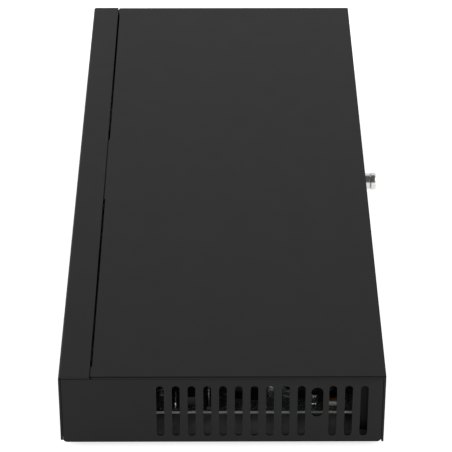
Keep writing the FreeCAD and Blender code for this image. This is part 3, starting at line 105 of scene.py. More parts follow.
def noise(made, scale, detail=2.0, stretch=(1, 1, 1)):
    pattern = made.node_tree.nodes.new("ShaderNodeTexNoise")
    pattern.inputs["Scale"].default_value = scale
    pattern.inputs["Detail"].default_value = detail
    made.node_tree.links.new(placed(made, stretch), pattern.inputs["Vector"])
    return pattern.outputs["Fac"]


def spread_colour(made, pattern, first, second, low=0.35, high=0.65):
    ramp = made.node_tree.nodes.new("ShaderNodeValToRGB")
    ramp.color_ramp.elements[0].position = low
    ramp.color_ramp.elements[1].position = high
    ramp.color_ramp.elements[0].color = (*first, 1.0)
    ramp.color_ramp.elements[1].color = (*second, 1.0)
    made.node_tree.links.new(pattern, ramp.inputs["Fac"])
    made.node_tree.links.new(ramp.outputs["Color"], shader_of(made).inputs["Base Color"])


def spread_gloss(made, pattern, smooth, rough):
    ramp = made.node_tree.nodes.new("ShaderNodeMapRange")
    ramp.inputs["From Min"].default_value = 0.3
    ramp.inputs["From Max"].default_value = 0.7
    ramp.inputs["To Min"].default_value = smooth
    ramp.inputs["To Max"].default_value = rough
    made.node_tree.links.new(pattern, ramp.inputs["Value"])
    made.node_tree.links.new(ramp.outputs["Result"], shader_of(made).inputs["Roughness"])


def relief(made, pattern, height, strength=1.0):
    """Fine bumps. A second call adds its bumps to the first one's."""
    bump = made.node_tree.nodes.new("ShaderNodeBump")
    bump.inputs["Distance"].default_value = height
    bump.inputs["Strength"].default_value = strength
    normal = shader_of(made).inputs["Normal"]
    if normal.links:
        made.node_tree.links.new(normal.links[0].from_socket, bump.inputs["Normal"])
    made.node_tree.links.new(pattern, bump.inputs["Height"])
    made.node_tree.links.new(bump.outputs["Normal"], normal)


# %% [markdown]
# ### Powder coat
# The case is steel sprayed with black polyester powder and baked. The coat is nearly black, has a
# satin gloss, and shows a shallow orange peel about a millimetre across, with finer grains on top. The
# sheet below is never quite flat, so a third, very wide noise lets reflections wander a little. Less
# powder reaches the folds inside, so the coat there is thin and dull.

# %% Powder coat
def powder_coat(name, colour, peel=0.000004, specular=0.19):
    coat = finish(name, colour, 0.5, specular=specular)
    wide = noise(coat, 9.0, detail=1.0)
    spread_gloss(coat, noise(coat, 60.0, detail=4.0), 0.485, 0.51)
    lighter = [c * 1.16 for c in colour]
    spread_colour(coat, noise(coat, 2600.0, detail=1.0), colour, lighter)
    relief(coat, wide, 0.00002, 0.3)
    relief(coat, noise(coat, 900.0, detail=2.0), peel)
    relief(coat, noise(coat, 4200.0, detail=1.0), 0.0000012)
    return coat


case_coat = powder_coat("case powder coat", (0.0046, 0.0047, 0.0049))
tray_coat = powder_coat("tray powder coat", (0.007, 0.0071, 0.0074), peel=0.000005)
inner_coat = powder_coat("thin inner coat", (0.0046, 0.0047, 0.0049), peel=0.000006, specular=0.1)
print("coats:", case_coat.name, tray_coat.name, inner_coat.name)

# %% [markdown]
# ### Plated and bare metals
# Zinc plate is crystalline, so a cell pattern tints it. Bright nickel on the turned screw has rings
# from the lathe. Tin plate on the socket shields was rolled, so its noise is drawn out one way.

# %% Metals
def plated(name, colour, roughness, scale, stretch=(1, 1, 1)):
    metal = finish(name, colour, roughness, metallic=1.0)
    grain = noise(metal, scale, detail=3.0, stretch=stretch)
    spread_colour(metal, grain, [c * 0.86 for c in colour], colour)
    spread_gloss(metal, grain, roughness * 0.8, roughness * 1.25)
    relief(metal, grain, 0.000003, 0.6)
    return metal


def zinc_plate(name):
    metal = finish(name, (0.56, 0.57, 0.6), 0.36, metallic=1.0)
    cells = metal.node_tree.nodes.new("ShaderNodeTexVoronoi")
    cells.inputs["Scale"].default_value = 420.0
    metal.node_tree.links.new(placed(metal), cells.inputs["Vector"])
    spread_colour(metal, cells.outputs["Distance"], (0.44, 0.45, 0.47), (0.6, 0.61, 0.64), 0.0, 0.8)
    spread_gloss(metal, noise(metal, 300.0), 0.28, 0.42)
    return metal


def dull_zinc(name):
    metal = finish(name, (0.62, 0.62, 0.63), 0.6, metallic=0.25)
    spread_colour(metal, noise(metal, 120.0, detail=4.0), (0.5, 0.5, 0.51), (0.7, 0.7, 0.71))
    relief(metal, noise(metal, 500.0), 0.000004)
    return metal


def turned_nickel(name, node):
    metal = finish(name, (0.66, 0.66, 0.65), 0.14, metallic=1.0)
    low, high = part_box(node)
    rings = metal.node_tree.nodes.new("ShaderNodeTexWave")
    rings.wave_type = "RINGS"
    rings.rings_direction = "Y"
    rings.inputs["Scale"].default_value = 1500.0
    rings.inputs["Distortion"].default_value = 1.5
    metal.node_tree.links.new(placed(metal, middle=(low + high) / 2), rings.inputs["Vector"])
    relief(metal, rings.outputs["Fac"], 0.0000015, 0.5)
    spread_gloss(metal, noise(metal, 700.0), 0.1, 0.24)
    return metal


zinc = zinc_plate("zinc plate")
inside_zinc = dull_zinc("dull zinc")
nickel = turned_nickel("turned nickel", "cover_screw")
tin = plated("tin plate", (0.5, 0.5, 0.49), 0.32, 500.0, stretch=(1, 1, 6))
pin_tin = plated("dull pins", (0.78, 0.77, 0.73), 0.4, 900.0)
gold = plated("gold flash", (0.86, 0.62, 0.24), 0.22, 900.0)
brass = plated("turned brass", (0.72, 0.55, 0.27), 0.28, 600.0, stretch=(1, 1, 8))
can_metal = plated("can aluminium", (0.78, 0.79, 0.8), 0.24, 500.0, stretch=(1, 1, 5))
anodised = plated("anodised aluminium", (0.5, 0.51, 0.53), 0.42, 260.0, stretch=(1, 8, 1))
casting = plated("disk casting", (0.5, 0.51, 0.52), 0.5, 900.0)
lid_metal = plated("brushed lid", (0.6, 0.61, 0.62), 0.3, 160.0, stretch=(1, 14, 14))
platter_metal = plated("platter coating", (0.84, 0.84, 0.86), 0.05, 40.0)
arm_metal = plated("machined arm", (0.64, 0.65, 0.67), 0.3, 500.0, stretch=(8, 1, 1))
cell_metal = plated("cell steel", (0.66, 0.67, 0.68), 0.26, 300.0, stretch=(10, 1, 1))
solder = plated("solder", (0.6, 0.61, 0.62), 0.3, 2000.0)
foil_silver = plated("plain foil", (0.72, 0.73, 0.74), 0.34, 90.0, stretch=(1, 6, 6))
print("finishes so far:", len(bpy.data.materials))

# %% [markdown]
# ### Plastics, rubber and glass
# Moulded plastic takes the spark-eroded texture of its mould, so a fine grain goes into its relief.
# Rubber is duller and dustier. Clear parts let light through; the smoked window is so dark that only
# its gloss is seen.

# %% Plastics and rubber
def moulded(name, colour, roughness, grain_scale=2400.0, depth=0.000004):
    plastic = finish(name, colour, roughness, specular=0.45)
    grain = noise(plastic, grain_scale, detail=2.0)
    spread_colour(plastic, grain, [c * 0.85 for c in colour], [min(1.0, c * 1.12) for c in colour])
    spread_gloss(plastic, noise(plastic, 180.0), roughness * 0.88, roughness * 1.12)
    relief(plastic, grain, depth)
    return plastic


def clear(name, colour, roughness=0.08, passes=1.0):
    glass = finish(name, colour, roughness)
    shader_of(glass).inputs["Transmission Weight"].default_value = passes
    shader_of(glass).inputs["IOR"].default_value = 1.49
    relief(glass, noise(glass, 400.0), 0.000003)
    return glass


rubber = moulded("foot rubber", (0.018, 0.018, 0.019), 0.78, 1500.0, 0.00001)
cable_black = moulded("black wire", (0.016, 0.016, 0.017), 0.5)
cable_red = moulded("red cable", (0.45, 0.018, 0.014), 0.42)
ribbon_grey = moulded("grey ribbon", (0.42, 0.42, 0.44), 0.5)
epoxy = moulded("chip epoxy", (0.018, 0.018, 0.02), 0.55, 5200.0, 0.000003)
socket_plastic = moulded("socket plastic", (0.014, 0.014, 0.015), 0.4)
button_plastic = moulded("button plastic", (0.02, 0.02, 0.021), 0.42, 3000.0)
fan_plastic = moulded("fan plastic", (0.014, 0.014, 0.015), 0.38)
plug_white = moulded("white plug", (0.72, 0.7, 0.62), 0.42)
blue_plastic = moulded("blue tongue", (0.02, 0.09, 0.42), 0.4)
ferrite = moulded("ferrite", (0.035, 0.035, 0.036), 0.62, 1800.0, 0.000008)
tantalum = moulded("tantalum body", (0.62, 0.2, 0.03), 0.38, 3000.0, 0.000002)
polymer = moulded("polymer capacitor", (0.02, 0.02, 0.022), 0.42, 3000.0, 0.000002)
stripe = moulded("pale stripe", (0.62, 0.62, 0.6), 0.45, 3000.0, 0.000002)
ceramic = moulded("ceramic chip", (0.2, 0.175, 0.15), 0.46, 3000.0, 0.000002)
sleeve_black = moulded("sleeve print", (0.02, 0.02, 0.022), 0.35)
black_oxide = plated("black oxide", (0.055, 0.055, 0.058), 0.42, 900.0)
pipe_clear = clear("milky pipe", (0.62, 0.66, 0.68), 0.4, passes=0.35)
lens_green = clear("green lens", (0.32, 0.8, 0.4), 0.2, passes=0.55)
lens_amber = clear("amber lens", (0.95, 0.55, 0.12), 0.2, passes=0.55)
window_smoke = moulded("smoked window", (0.012, 0.004, 0.006), 0.08, 700.0, 0.000001)
print("finishes so far:", len(bpy.data.materials))

# %% [markdown]
# ### Circuit board
# A bare board is glass cloth and resin, tan green at its cut edge. Its faces are covered by green solder
# mask, under which copper tracks show as lighter lines. Slanting bands, broken up by a noise, stand for
# the tracks, and the middles of a flat cell pattern stand for the tinned holes.

# %% Solder mask and board edge
HOLE_TIN = (0.5, 0.5, 0.47, 1.0)


def solder_mask(name, mask=(0.07, 0.095, 0.078), over_copper=(0.11, 0.16, 0.13)):
    board = finish(name, mask, 0.34, specular=0.4)
    nodes, links = board.node_tree.nodes, board.node_tree.links
    tracks = nodes.new("ShaderNodeTexWave")
    tracks.bands_direction = "DIAGONAL"
    tracks.inputs["Scale"].default_value = 190.0
    tracks.inputs["Distortion"].default_value = 6.0
    tracks.inputs["Detail Scale"].default_value = 0.3
    links.new(placed(board), tracks.inputs["Vector"])
    where = noise(board, 55.0, detail=0.0)
    masked = nodes.new("ShaderNodeMath")
    masked.operation = "MULTIPLY"
    links.new(tracks.outputs["Fac"], masked.inputs[0])
    links.new(where, masked.inputs[1])
    spread_colour(board, masked.outputs["Value"], mask, over_copper, 0.34, 0.42)
    relief(board, masked.outputs["Value"], 0.00002, 0.4)
    spread_gloss(board, where, 0.28, 0.4)
    holes = nodes.new("ShaderNodeTexVoronoi")
    holes.voronoi_dimensions = "2D"
    holes.inputs["Scale"].default_value = 330.0
    links.new(placed(board), holes.inputs["Vector"])
    within = nodes.new("ShaderNodeMath")
    within.operation = "LESS_THAN"
    within.inputs[1].default_value = 0.13
    links.new(holes.outputs["Distance"], within.inputs[0])
    tinned = nodes.new("ShaderNodeMix")
    tinned.data_type = "RGBA"
    colour = shader_of(board).inputs["Base Color"]
    links.new(within.outputs["Value"], tinned.inputs["Factor"])
    links.new(colour.links[0].from_socket, tinned.inputs["A"])
    tinned.inputs["B"].default_value = HOLE_TIN
    links.new(tinned.outputs["Result"], colour)
    return board


mask_green = solder_mask("solder mask")
laminate = moulded("board laminate", (0.42, 0.43, 0.39), 0.7, 160.0, 0.00001)
print("board finishes:", mask_green.name, laminate.name)

# %% [markdown]
# ## Easing the edges
# A folded or moulded piece never has a knife edge, and the bright line along a small radius is most of
# what makes metal look real. The CAD mesh is loose triangles, so a copy is welded, its flat triangles
# are merged, and a narrow bevel runs along every edge that turns sharply. Bevelling only takes material
# away, so the piece keeps its size. Round faces are shaded smooth up to the edges marked sharp.

# %% Eased copies of CAD pieces
SHARP = math.radians(34)
FLAT = math.radians(0.4)
made_pieces = []


def welded(node):
    mesh = bmesh.new()
    mesh.from_mesh(frame["nodes"][node].data)
    bmesh.ops.remove_doubles(mesh, verts=mesh.verts, dist=0.000001)
    bmesh.ops.dissolve_limit(mesh, angle_limit=FLAT, verts=mesh.verts, edges=mesh.edges)
    return mesh


def body_of(node):
    for body, members in frame["record"]["behaviour"]["bodies"].items():
        if node in members:
            return body


def as_piece(mesh, name, made, node=None, body="chassis"):
    """Makes an object of a finished bmesh. With a node, it stands for that CAD piece."""
    data = bpy.data.meshes.new(name)
    mesh.to_mesh(data)
    mesh.free()
    data.shade_smooth()
    data.set_sharp_from_angle(angle=SHARP)
    for each in made if isinstance(made, (list, tuple)) else [made]:
        data.materials.append(each)
    piece = bpy.data.objects.new(name, data)
    bpy.context.scene.collection.objects.link(piece)
    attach(piece, body_of(node) if node else body)
    if node:
        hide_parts(node)
    made_pieces.append(piece)
    return piece


def eased(node, made, width=0.1, segments=2):
    """A copy of a CAD piece with edges eased by `width` millimetres."""
    piece = as_piece(welded(node), node + "_eased", made, node)
    bevel = piece.modifiers.new("eased edges", "BEVEL")
    bevel.width = width * MM
    bevel.segments = segments
    bevel.limit_method = "ANGLE"
    bevel.angle_limit = SHARP
    bevel.use_clamp_overlap = True
    bevel.harden_normals = True
    bevel.miter_outer = "MITER_ARC"
    return piece


# %% [markdown]
# ## The case
# Cover, panels and tray are folded from sheet of about a millimetre. Punched edges are barely rounded,
# so their bevel is small; the fold itself already has its radius in the CAD. The tray is sprayed on its
# outside only, so that the standoffs make good electrical contact: its upward faces stay bare zinc. The
# rear panel's bevel doesn't slide along edges, or it would push a corner past the end of the sheet. The
# tray has so many holes near its folds that a bevel would tear its underside, so it has none.

# %% Case pieces
eased("top_cover", case_coat, 0.16)
eased("front_panel", case_coat, 0.2)
rear = eased("rear_panel", [case_coat, inner_coat], 0.12)
rear.modifiers["eased edges"].loop_slide = False
for face in rear.data.polygons:
    face.material_index = 1 if face.center.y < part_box("base_tray")[1].y else 0
tray = as_piece(welded("base_tray"), "base_tray_folded", [tray_coat, inside_zinc], "base_tray")
for face in tray.data.polygons:
    face.material_index = 1 if face.normal.z > 0.5 else 0
eased("cover_rear_bracket", zinc, 0.1)
eased("fan_bracket", zinc, 0.1)
eased("rubber_feet", rubber, 0.5, segments=3)
print("case pieces:", len(made_pieces))

# %% Fasteners
eased("cover_screw", nickel, 0.12, segments=3)
eased("cover_screw_collar", nickel, 0.1)
eased("countersunk_screws", black_oxide, 0.05)
eased("pan_head_screws", zinc, 0.08)
eased("board_standoffs", brass, 0.12)

# %% [markdown]
# ## Boards
# The faces that look up or down are solder mask, and the cut edges are bare laminate, so each face of
# the board takes the first or second finish by the way it looks.

# %% Boards with bare edges
def board_piece(node):
    piece = as_piece(welded(node), node + "_bare", [mask_green, laminate], node)
    for face in piece.data.polygons:
        face.material_index = 0 if abs(face.normal.z) > 0.5 else 1
    return piece


for node in ("main_board", "front_board", "hdd_board"):
    board_piece(node)
print("pieces now:", len(made_pieces))

# %% [markdown]
# ## Parts on the board
# Most small parts keep their CAD shape. The islands of a group, such as each chip, are found by walking
# from face to face, so that legs, stripes and prints can be added to each of them.

# %% Find the separate solids of a group
def islands(node):
    """The lowest and highest corner of every separate solid in a CAD node."""
    mesh = welded(node)
    unseen = set(mesh.verts)
    boxes = []
    while unseen:
        stack = [unseen.pop()]
        found = []
        while stack:
            vert = stack.pop()
            found.append(vert.co.copy())
            for edge in vert.link_edges:
                other = edge.other_vert(vert)
                if other in unseen:
                    unseen.discard(other)
                    stack.append(other)
        low = Vector([min(p[i] for p in found) for i in range(3)])
        high = Vector([max(p[i] for p in found) for i in range(3)])
        boxes.append((low, high))
    mesh.free()
    return sorted(boxes, key=lambda b: (b[0].x, b[0].y))


def add_block(mesh, low, high, material=0):
    """A box between two corners, added to a bmesh."""
    size = Vector(high) - Vector(low)
    place = Matrix.Translation((Vector(low) + Vector(high)) / 2) @ Matrix.Diagonal((*size, 1.0))
    corners = bmesh.ops.create_cube(mesh, size=1.0, matrix=place)["verts"]
    for face in {f for v in corners for f in v.link_faces}:
        face.material_index = material


print("chips on the board:", len(islands("logic_chips")))

# %% [markdown]
# A chip is black epoxy with tinned legs in a row on two or four sides.
# The legs of such packages are about half a millimetre wide, at twice that pitch.

# %% Chips and their legs
LEG_PITCH = 1.27 * MM
LEG_WIDTH = 0.42 * MM
LEG_REACH = 0.9 * MM


def add_legs(mesh, low, high):
    for axis in (0, 1):
        across = 1 - axis
        count = int((high[axis] - low[axis]) / LEG_PITCH)
        start = (low[axis] + high[axis]) / 2 - (count - 1) * LEG_PITCH / 2
        for i in range(count):
            for side in (low[across] - LEG_REACH, high[across]):
                a, b = Vector(), Vector()
                a[axis] = start + i * LEG_PITCH - LEG_WIDTH / 2
                b[axis] = start + i * LEG_PITCH + LEG_WIDTH / 2
                a[across], b[across] = side, side + LEG_REACH
                a.z, b.z = low.z, low.z + 0.25 * MM
                add_block(mesh, a, b)


legs = bmesh.new()
for low, high in islands("logic_chips"):
    add_legs(legs, low, high)
as_piece(legs, "chip_legs", solder)
eased("logic_chips", epoxy, 0.12)
eased("memory_chips", epoxy, 0.12)
eased("processor", epoxy, 0.2)
eased("network_transformers", epoxy, 0.2)
eased("buzzer", socket_plastic, 0.3)
print("pieces now:", len(made_pieces))

# %% [markdown]
# An electrolytic capacitor is an aluminium can. A bead is rolled near its foot, and a dark print marks the
# negative side. The can is spun from a profile with its true radius and height.

# %% Capacitors
def add_can(mesh, low, high):
    centre = (low + high) / 2
    radius, height = (high.x - low.x) / 2, high.z - low.z
    neck = radius * 0.9
    profile = [(0.0, height), (radius * 0.86, height), (radius, height - 0.5 * MM), (radius, 2.2 * MM),
               (neck, 1.8 * MM), (neck, 1.5 * MM), (radius, 1.1 * MM), (radius, 0.0), (0.0, 0.0)]
    verts = [mesh.verts.new((centre.x + x, centre.y, low.z + z)) for x, z in profile]
    edges = [mesh.edges.new(pair) for pair in zip(verts, verts[1:])]
    bmesh.ops.spin(mesh, geom=verts + edges, cent=centre, axis=(0, 0, 1), angle=2 * math.pi,
                   steps=32, use_merge=True)


cans = bmesh.new()
for low, high in islands("capacitors"):
    add_can(cans, low, high)
bmesh.ops.remove_doubles(cans, verts=cans.verts, dist=0.000002)
bmesh.ops.recalc_face_normals(cans, faces=cans.faces)
can_boxes = islands("capacitors")
for face in cans.faces:
    middle = face.calc_center_median()
    for low, high in can_boxes:
        on_top = abs(middle.z - high.z) < 0.3 * MM and (middle - (low + high) / 2).xy.length < high.x - low.x
        if on_top and middle.x < (low.x + high.x) / 2 - (high.x - low.x) * 0.18:
            face.material_index = 1
as_piece(cans, "capacitor_cans", [can_metal, sleeve_black], "capacitors")
print("capacitors:", len(can_boxes))

# %% [markdown]
# A moulded capacitor has a pale stripe on one end. Most are black polymer ones, and the one that stands
# right at the board's edge is an orange tantalum one. A plane through each block cuts off its stripe.

# %% Other parts on the board
STRIPE_FROM = 0.75
EDGE_STRIP = 6 * MM
blocks = welded("tantalum_capacitors")
islands_of_blocks = islands("tantalum_capacitors")
right_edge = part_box("main_board")[1].x
for low, high in islands_of_blocks:
    cut = Vector((low.x + STRIPE_FROM * (high.x - low.x), 0, 0))
    whole = list(blocks.verts) + list(blocks.edges) + list(blocks.faces)
    bmesh.ops.bisect_plane(blocks, geom=whole, plane_co=cut, plane_no=(1, 0, 0), dist=0.0000001)
for face in blocks.faces:
    middle = face.calc_center_median()
    low, high = min(islands_of_blocks, key=lambda b: ((b[0] + b[1]) / 2 - middle).length)
    by_the_edge = right_edge - high.x < EDGE_STRIP
    striped = middle.x > low.x + STRIPE_FROM * (high.x - low.x)
    face.material_index = 2 if striped else 1 if by_the_edge else 0
as_piece(blocks, "striped_capacitors", [polymer, tantalum, stripe], "tantalum_capacitors")
eased("inductors", ferrite, 0.3)
eased("coin_cell", cell_metal, 0.2)
eased("chip_components", ceramic, 0.05)
eased("heatsink", anodised, 0.1)

# %% [markdown]
# A pin header is a black moulded strip with square tinned pins. CAD has both as one solid, so here they
# are two finishes of one piece: on each header, what stands above its strip is pin.

# %% Pin headers
TALL_HEADER = 6 * MM
TALL_STRIP, LOW_STRIP = 2.5, 1.5
headers = welded("pin_header")
header_boxes = islands("pin_header")
for face in headers.faces:
    middle = face.calc_center_median()
    low, high = min(header_boxes, key=lambda b: abs((b[0].y + b[1].y) / 2 - middle.y))
    strip_top = low.z + (TALL_STRIP if high.z - low.z > TALL_HEADER else LOW_STRIP) * MM
    face.material_index = 1 if middle.z > strip_top + 0.05 * MM else 0
as_piece(headers, "headers_and_pins", [socket_plastic, pin_tin], "pin_header")
print("pin headers:", len(header_boxes))

# %% [markdown]
# Between the large parts a real board is crowded with resistors and capacitors hardly larger than grains
# of rice. Each is a dark or tan body with tinned ends. They are set on a loose grid, a seeded random
# choice leaves gaps, and none may stand where the CAD already has a part.

# %% Small parts between the large ones
dice = random.Random(12)
TAKEN = ("processor", "heatsink", "memory_chips", "logic_chips", "network_transformers", "capacitors",
         "tantalum_capacitors", "inductors", "coin_cell", "buzzer", "chip_components", "pin_header",
         "camera_ports_a", "camera_ports_b", "lan_port", "mouse_socket_shell", "monitor_socket_shell",
         "dc_jack", "audio_jacks", "disk_data_socket", "disk_power_socket", "front_cable", "fan_cable",
         "pan_head_screws")
board_low, board_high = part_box("main_board")
taken = [b for node in TAKEN for b in islands(node)]
FREE_EDGE = 10 * MM


def is_free(x, y, reach):
    if board_high.x - x < FREE_EDGE and (y - board_low.y) % (29 * MM) > 14 * MM:
        return False
    return all(x + reach < low.x or x - reach > high.x or y + reach < low.y or y - reach > high.y
               for low, high in taken)


def add_chip(mesh, x, y, length, width, height, along_x):
    size = Vector((length, width, 0)) if along_x else Vector((width, length, 0))
    end = Vector((length * 0.22, width, 0)) if along_x else Vector((width, length * 0.22, 0))
    place = Vector((x, y, board_high.z))
    up = Vector((0, 0, height))
    way = Vector((1, 0, 0)) if along_x else Vector((0, 1, 0))
    inset = way * length * 0.22
    add_block(mesh, place - size / 2 + inset, place + size / 2 - inset + up, dice.choice((0, 0, 1)))
    for side in (-1, 1):
        middle = place + way * side * length * 0.39
        add_block(mesh, middle - end / 2, middle + end / 2 + up * 1.03, 2)


small = bmesh.new()
GRID = 3.4 * MM
STRAY = 0.3
ROOM = 1.5 * MM
CHIP = (1.9 * MM, 1.1 * MM, 0.6 * MM)
CROWDED_COLUMNS = 9
CROWDED, SPARSE = 0.62, 0.2
for i in range(int((board_high.x - board_low.x) / GRID) - 1):
    for j in range(int((board_high.y - board_low.y) / GRID) - 1):
        x = board_high.x - (i + 0.7) * GRID + dice.uniform(-STRAY, STRAY) * MM
        y = board_low.y + (j + 0.8) * GRID + dice.uniform(-STRAY, STRAY) * MM
        if dice.random() < (CROWDED if i < CROWDED_COLUMNS else SPARSE) and is_free(x, y, ROOM):
            add_chip(small, x, y, *CHIP, dice.random() < 0.5)
print("small parts:", len(small.faces) // 18)
as_piece(small, "small_parts", [epoxy, ceramic, solder])

# %% [markdown]
# ## Sockets
# Each network socket is black plastic inside a tinned shield, with eight sprung gold wires and two
# lamps. The mouse and data sockets are folded from tinned sheet around a plastic tongue.

# %% Sockets
for node in ("camera_ports_a", "camera_ports_b", "lan_port", "dc_jack", "audio_jacks"):
    eased(node, socket_plastic, 0.1)
for node in ("port_shields", "mouse_socket_shell", "monitor_socket_shell", "front_socket_shells",
             "dc_jack_pin"):
    eased(node, tin, 0.08)
eased("port_contacts", gold, 0.03)
eased("link_leds", lens_green, 0.1)
eased("activity_leds", lens_amber, 0.1)
eased("mouse_socket_tongues", blue_plastic, 0.08)
eased("front_socket_tongues", socket_plastic, 0.08)
eased("monitor_socket_tongue", socket_plastic, 0.08)
print("pieces now:", len(made_pieces))

# %% [markdown]
# Four gold strips lie on each of those tongues.

# %% Contacts on the tongues
strips = bmesh.new()
STRIP_PITCH = 2.3 * MM
for node in ("mouse_socket_tongues", "front_socket_tongues"):
    for low, high in islands(node):
        for i in range(4):
            x = (low.x + high.x) / 2 + (i - 1.5) * STRIP_PITCH
            add_block(strips, (x - 0.5 * MM, low.y + 0.4 * MM, low.z - 0.08 * MM),
                      (x + 0.5 * MM, high.y - 0.8 * MM, low.z))
as_piece(strips, "tongue_contacts", gold)

# %% [markdown]
# ## Front controls
# The power button is moulded, and the usual ring and bar are sunk in its face. Pale paint is wiped into
# them, so the faces at the bottom of the mark get a finish of their own.

# %% Front controls
eased("light_pipes", pipe_clear, 0.2, segments=3)
eased("infrared_window", window_smoke, 0.2, segments=3)
button = eased("power_button", [button_plastic, stripe], 0.05)
button_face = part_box("power_button")[0].y
for face in button.data.polygons:
    sunk = face.center.y - button_face
    face.material_index = 1 if face.normal.y < -0.9 and 0.15 * MM < sunk < 0.4 * MM else 0
eased("switch_plunger", socket_plastic, 0.1)
eased("button_switch", socket_plastic, 0.1)

# %% [markdown]
# ## Hard disk
# A cast aluminium tub under a steel lid. The lid is stamped and brushed, and its screws sit in the
# corners. A plain foil label without any print lies on it.

# %% Hard disk
eased("hdd_casting", casting, 0.2)
eased("hdd_lid", lid_metal, 0.15)
lid_low, lid_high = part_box("hdd_lid")
FOIL_MARGIN = 14 * MM
FOIL_THICKNESS = 0.08 * MM
FOIL_CORNER = 3 * MM
foil = bmesh.new()
foil_low = Vector((lid_low.x + 0.12 * (lid_high.x - lid_low.x), lid_low.y + FOIL_MARGIN, lid_high.z))
foil_high = Vector((lid_low.x + 0.7 * (lid_high.x - lid_low.x), lid_high.y - FOIL_MARGIN,
                    lid_high.z + FOIL_THICKNESS))
add_block(foil, foil_low, foil_high)
corners = [e for e in foil.edges if abs((e.verts[0].co - e.verts[1].co).z) > 0.05 * MM]
bmesh.ops.bevel(foil, geom=corners, offset=FOIL_CORNER, offset_type="OFFSET", segments=6, profile=0.5,
                affect="EDGES", material=-1)
as_piece(foil, "disk_label", foil_silver)
eased("hdd_platters", platter_metal, 0.08)
eased("hdd_arm", arm_metal, 0.06)

# %% [markdown]
# ## Fan
# The wheel is moulded in one piece: a cup-shaped hub and seven blades. CAD has flat blades, which turn
# and fit well enough; a real blade is twisted, steeper at the hub than at the tip. Each blade here is a
# small grid, twisted along its length and given a wall, inside the space of the CAD wheel.

# %% Fan wheel
wheel_low, wheel_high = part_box("fan_rotor")
wheel_centre = (wheel_low + wheel_high) / 2
WHEEL_TIP = 18.1 * MM
WHEEL_HUB = 10.5 * MM
BLADES = 7


def add_hub(mesh):
    half = (wheel_high.x - wheel_low.x) / 2
    profile = [(-half, 0.0), (-half, WHEEL_HUB - 1.2 * MM), (-half + 0.4 * MM, WHEEL_HUB - 0.4 * MM),
               (-half + 1.2 * MM, WHEEL_HUB), (half, WHEEL_HUB), (half, WHEEL_HUB - 1.2 * MM),
               (half - 4.5 * MM, WHEEL_HUB - 1.2 * MM), (half - 4.5 * MM, 2.6 * MM), (half, 2.6 * MM),
               (half, 1.6 * MM), (-half + 1.0 * MM, 1.6 * MM), (-half + 1.0 * MM, 0.0)]
    verts = [mesh.verts.new(wheel_centre + Vector((x, 0, r))) for x, r in profile]
    edges = [mesh.edges.new(pair) for pair in zip(verts, verts[1:])]
    bmesh.ops.spin(mesh, geom=verts + edges, cent=wheel_centre, axis=(1, 0, 0), angle=2 * math.pi,
                   steps=48, use_merge=True)


def add_blade(mesh, turn):
    before = set(mesh.verts)
    bmesh.ops.create_grid(mesh, x_segments=6, y_segments=6, size=0.5)
    blade = [v for v in mesh.verts if v not in before]
    half = (wheel_high.x - wheel_low.x) / 2 - 0.5 * MM
    for vert in blade:
        along, out = vert.co.x, vert.co.y + 0.5
        radius = WHEEL_HUB - 0.5 * MM + out * (WHEEL_TIP - WHEEL_HUB + 0.5 * MM)
        sweep = along * math.radians(34 + 8 * out) + 0.06 * (1 - 4 * along * along)
        vert.co = (along * 2 * half, radius * math.sin(sweep), radius * math.cos(sweep))
    bmesh.ops.rotate(mesh, verts=blade, cent=(0, 0, 0), matrix=Matrix.Rotation(turn, 3, "X"))
    bmesh.ops.translate(mesh, verts=blade, vec=wheel_centre)
    faces = [f for f in mesh.faces if all(v not in before for v in f.verts)]
    bmesh.ops.recalc_face_normals(mesh, faces=faces)
    bmesh.ops.solidify(mesh, geom=faces, thickness=0.7 * MM)


wheel = bmesh.new()
add_hub(wheel)
bmesh.ops.remove_doubles(wheel, verts=wheel.verts, dist=0.000002)
bmesh.ops.recalc_face_normals(wheel, faces=wheel.faces)
for i in range(BLADES):
    add_blade(wheel, 2 * math.pi * i / BLADES)
as_piece(wheel, "fan_wheel", fan_plastic, "fan_rotor")
eased("fan_frame", fan_plastic, 0.3, segments=3)
print("pieces now:", len(made_pieces))

# %% [markdown]
# ## Cables inside
# These short leads are held at both ends, so they keep their CAD routes.

# %% Leads and their sockets
eased("disk_data_cable", cable_red, 0.1)
eased("disk_power_cable", cable_black, 0.1)
eased("front_cable", ribbon_grey, 0.1)
eased("fan_cable", cable_black, 0.1)
eased("disk_data_socket", socket_plastic, 0.1)
eased("disk_power_socket", plug_white, 0.1)

# %% CAD pieces still shown as they were
unseen = [n for n, o in frame["nodes"].items() if not o.hide_render]
print("CAD pieces still shown as they were:", unseen)

# %% [markdown]
# ## Camera
# The recorder is seen along its length from its right-hand end, from above, with a long lens, so that
# its far end looks only a little narrower than the near one.

# %% Camera
LENS = 180.0
DISTANCE_OUT = 1.2180
SIDE_STEP = -0.0010
EYE_ABOVE_UNDERSIDE = 0.7882
LOOK_DOWN = math.radians(32.85)
LOOK_ASIDE = math.radians(-0.18)

camera_data = bpy.data.cameras.new("camera")
camera_data.lens = LENS
camera_data.sensor_width = 36.0
camera_data.clip_end = 50.0
camera = bpy.data.objects.new("camera", camera_data)
camera.location = (DISTANCE_OUT, case_middle + SIDE_STEP, case_under + EYE_ABOVE_UNDERSIDE)
look = Vector((-math.cos(LOOK_DOWN) * math.cos(LOOK_ASIDE), -math.cos(LOOK_DOWN) * math.sin(LOOK_ASIDE),
               -math.sin(LOOK_DOWN)))
camera.rotation_euler = look.to_track_quat("-Z", "Y").to_euler()
bpy.context.scene.collection.objects.link(camera)
bpy.context.scene.camera = camera
print("camera at", [round(v, 3) for v in camera.location])

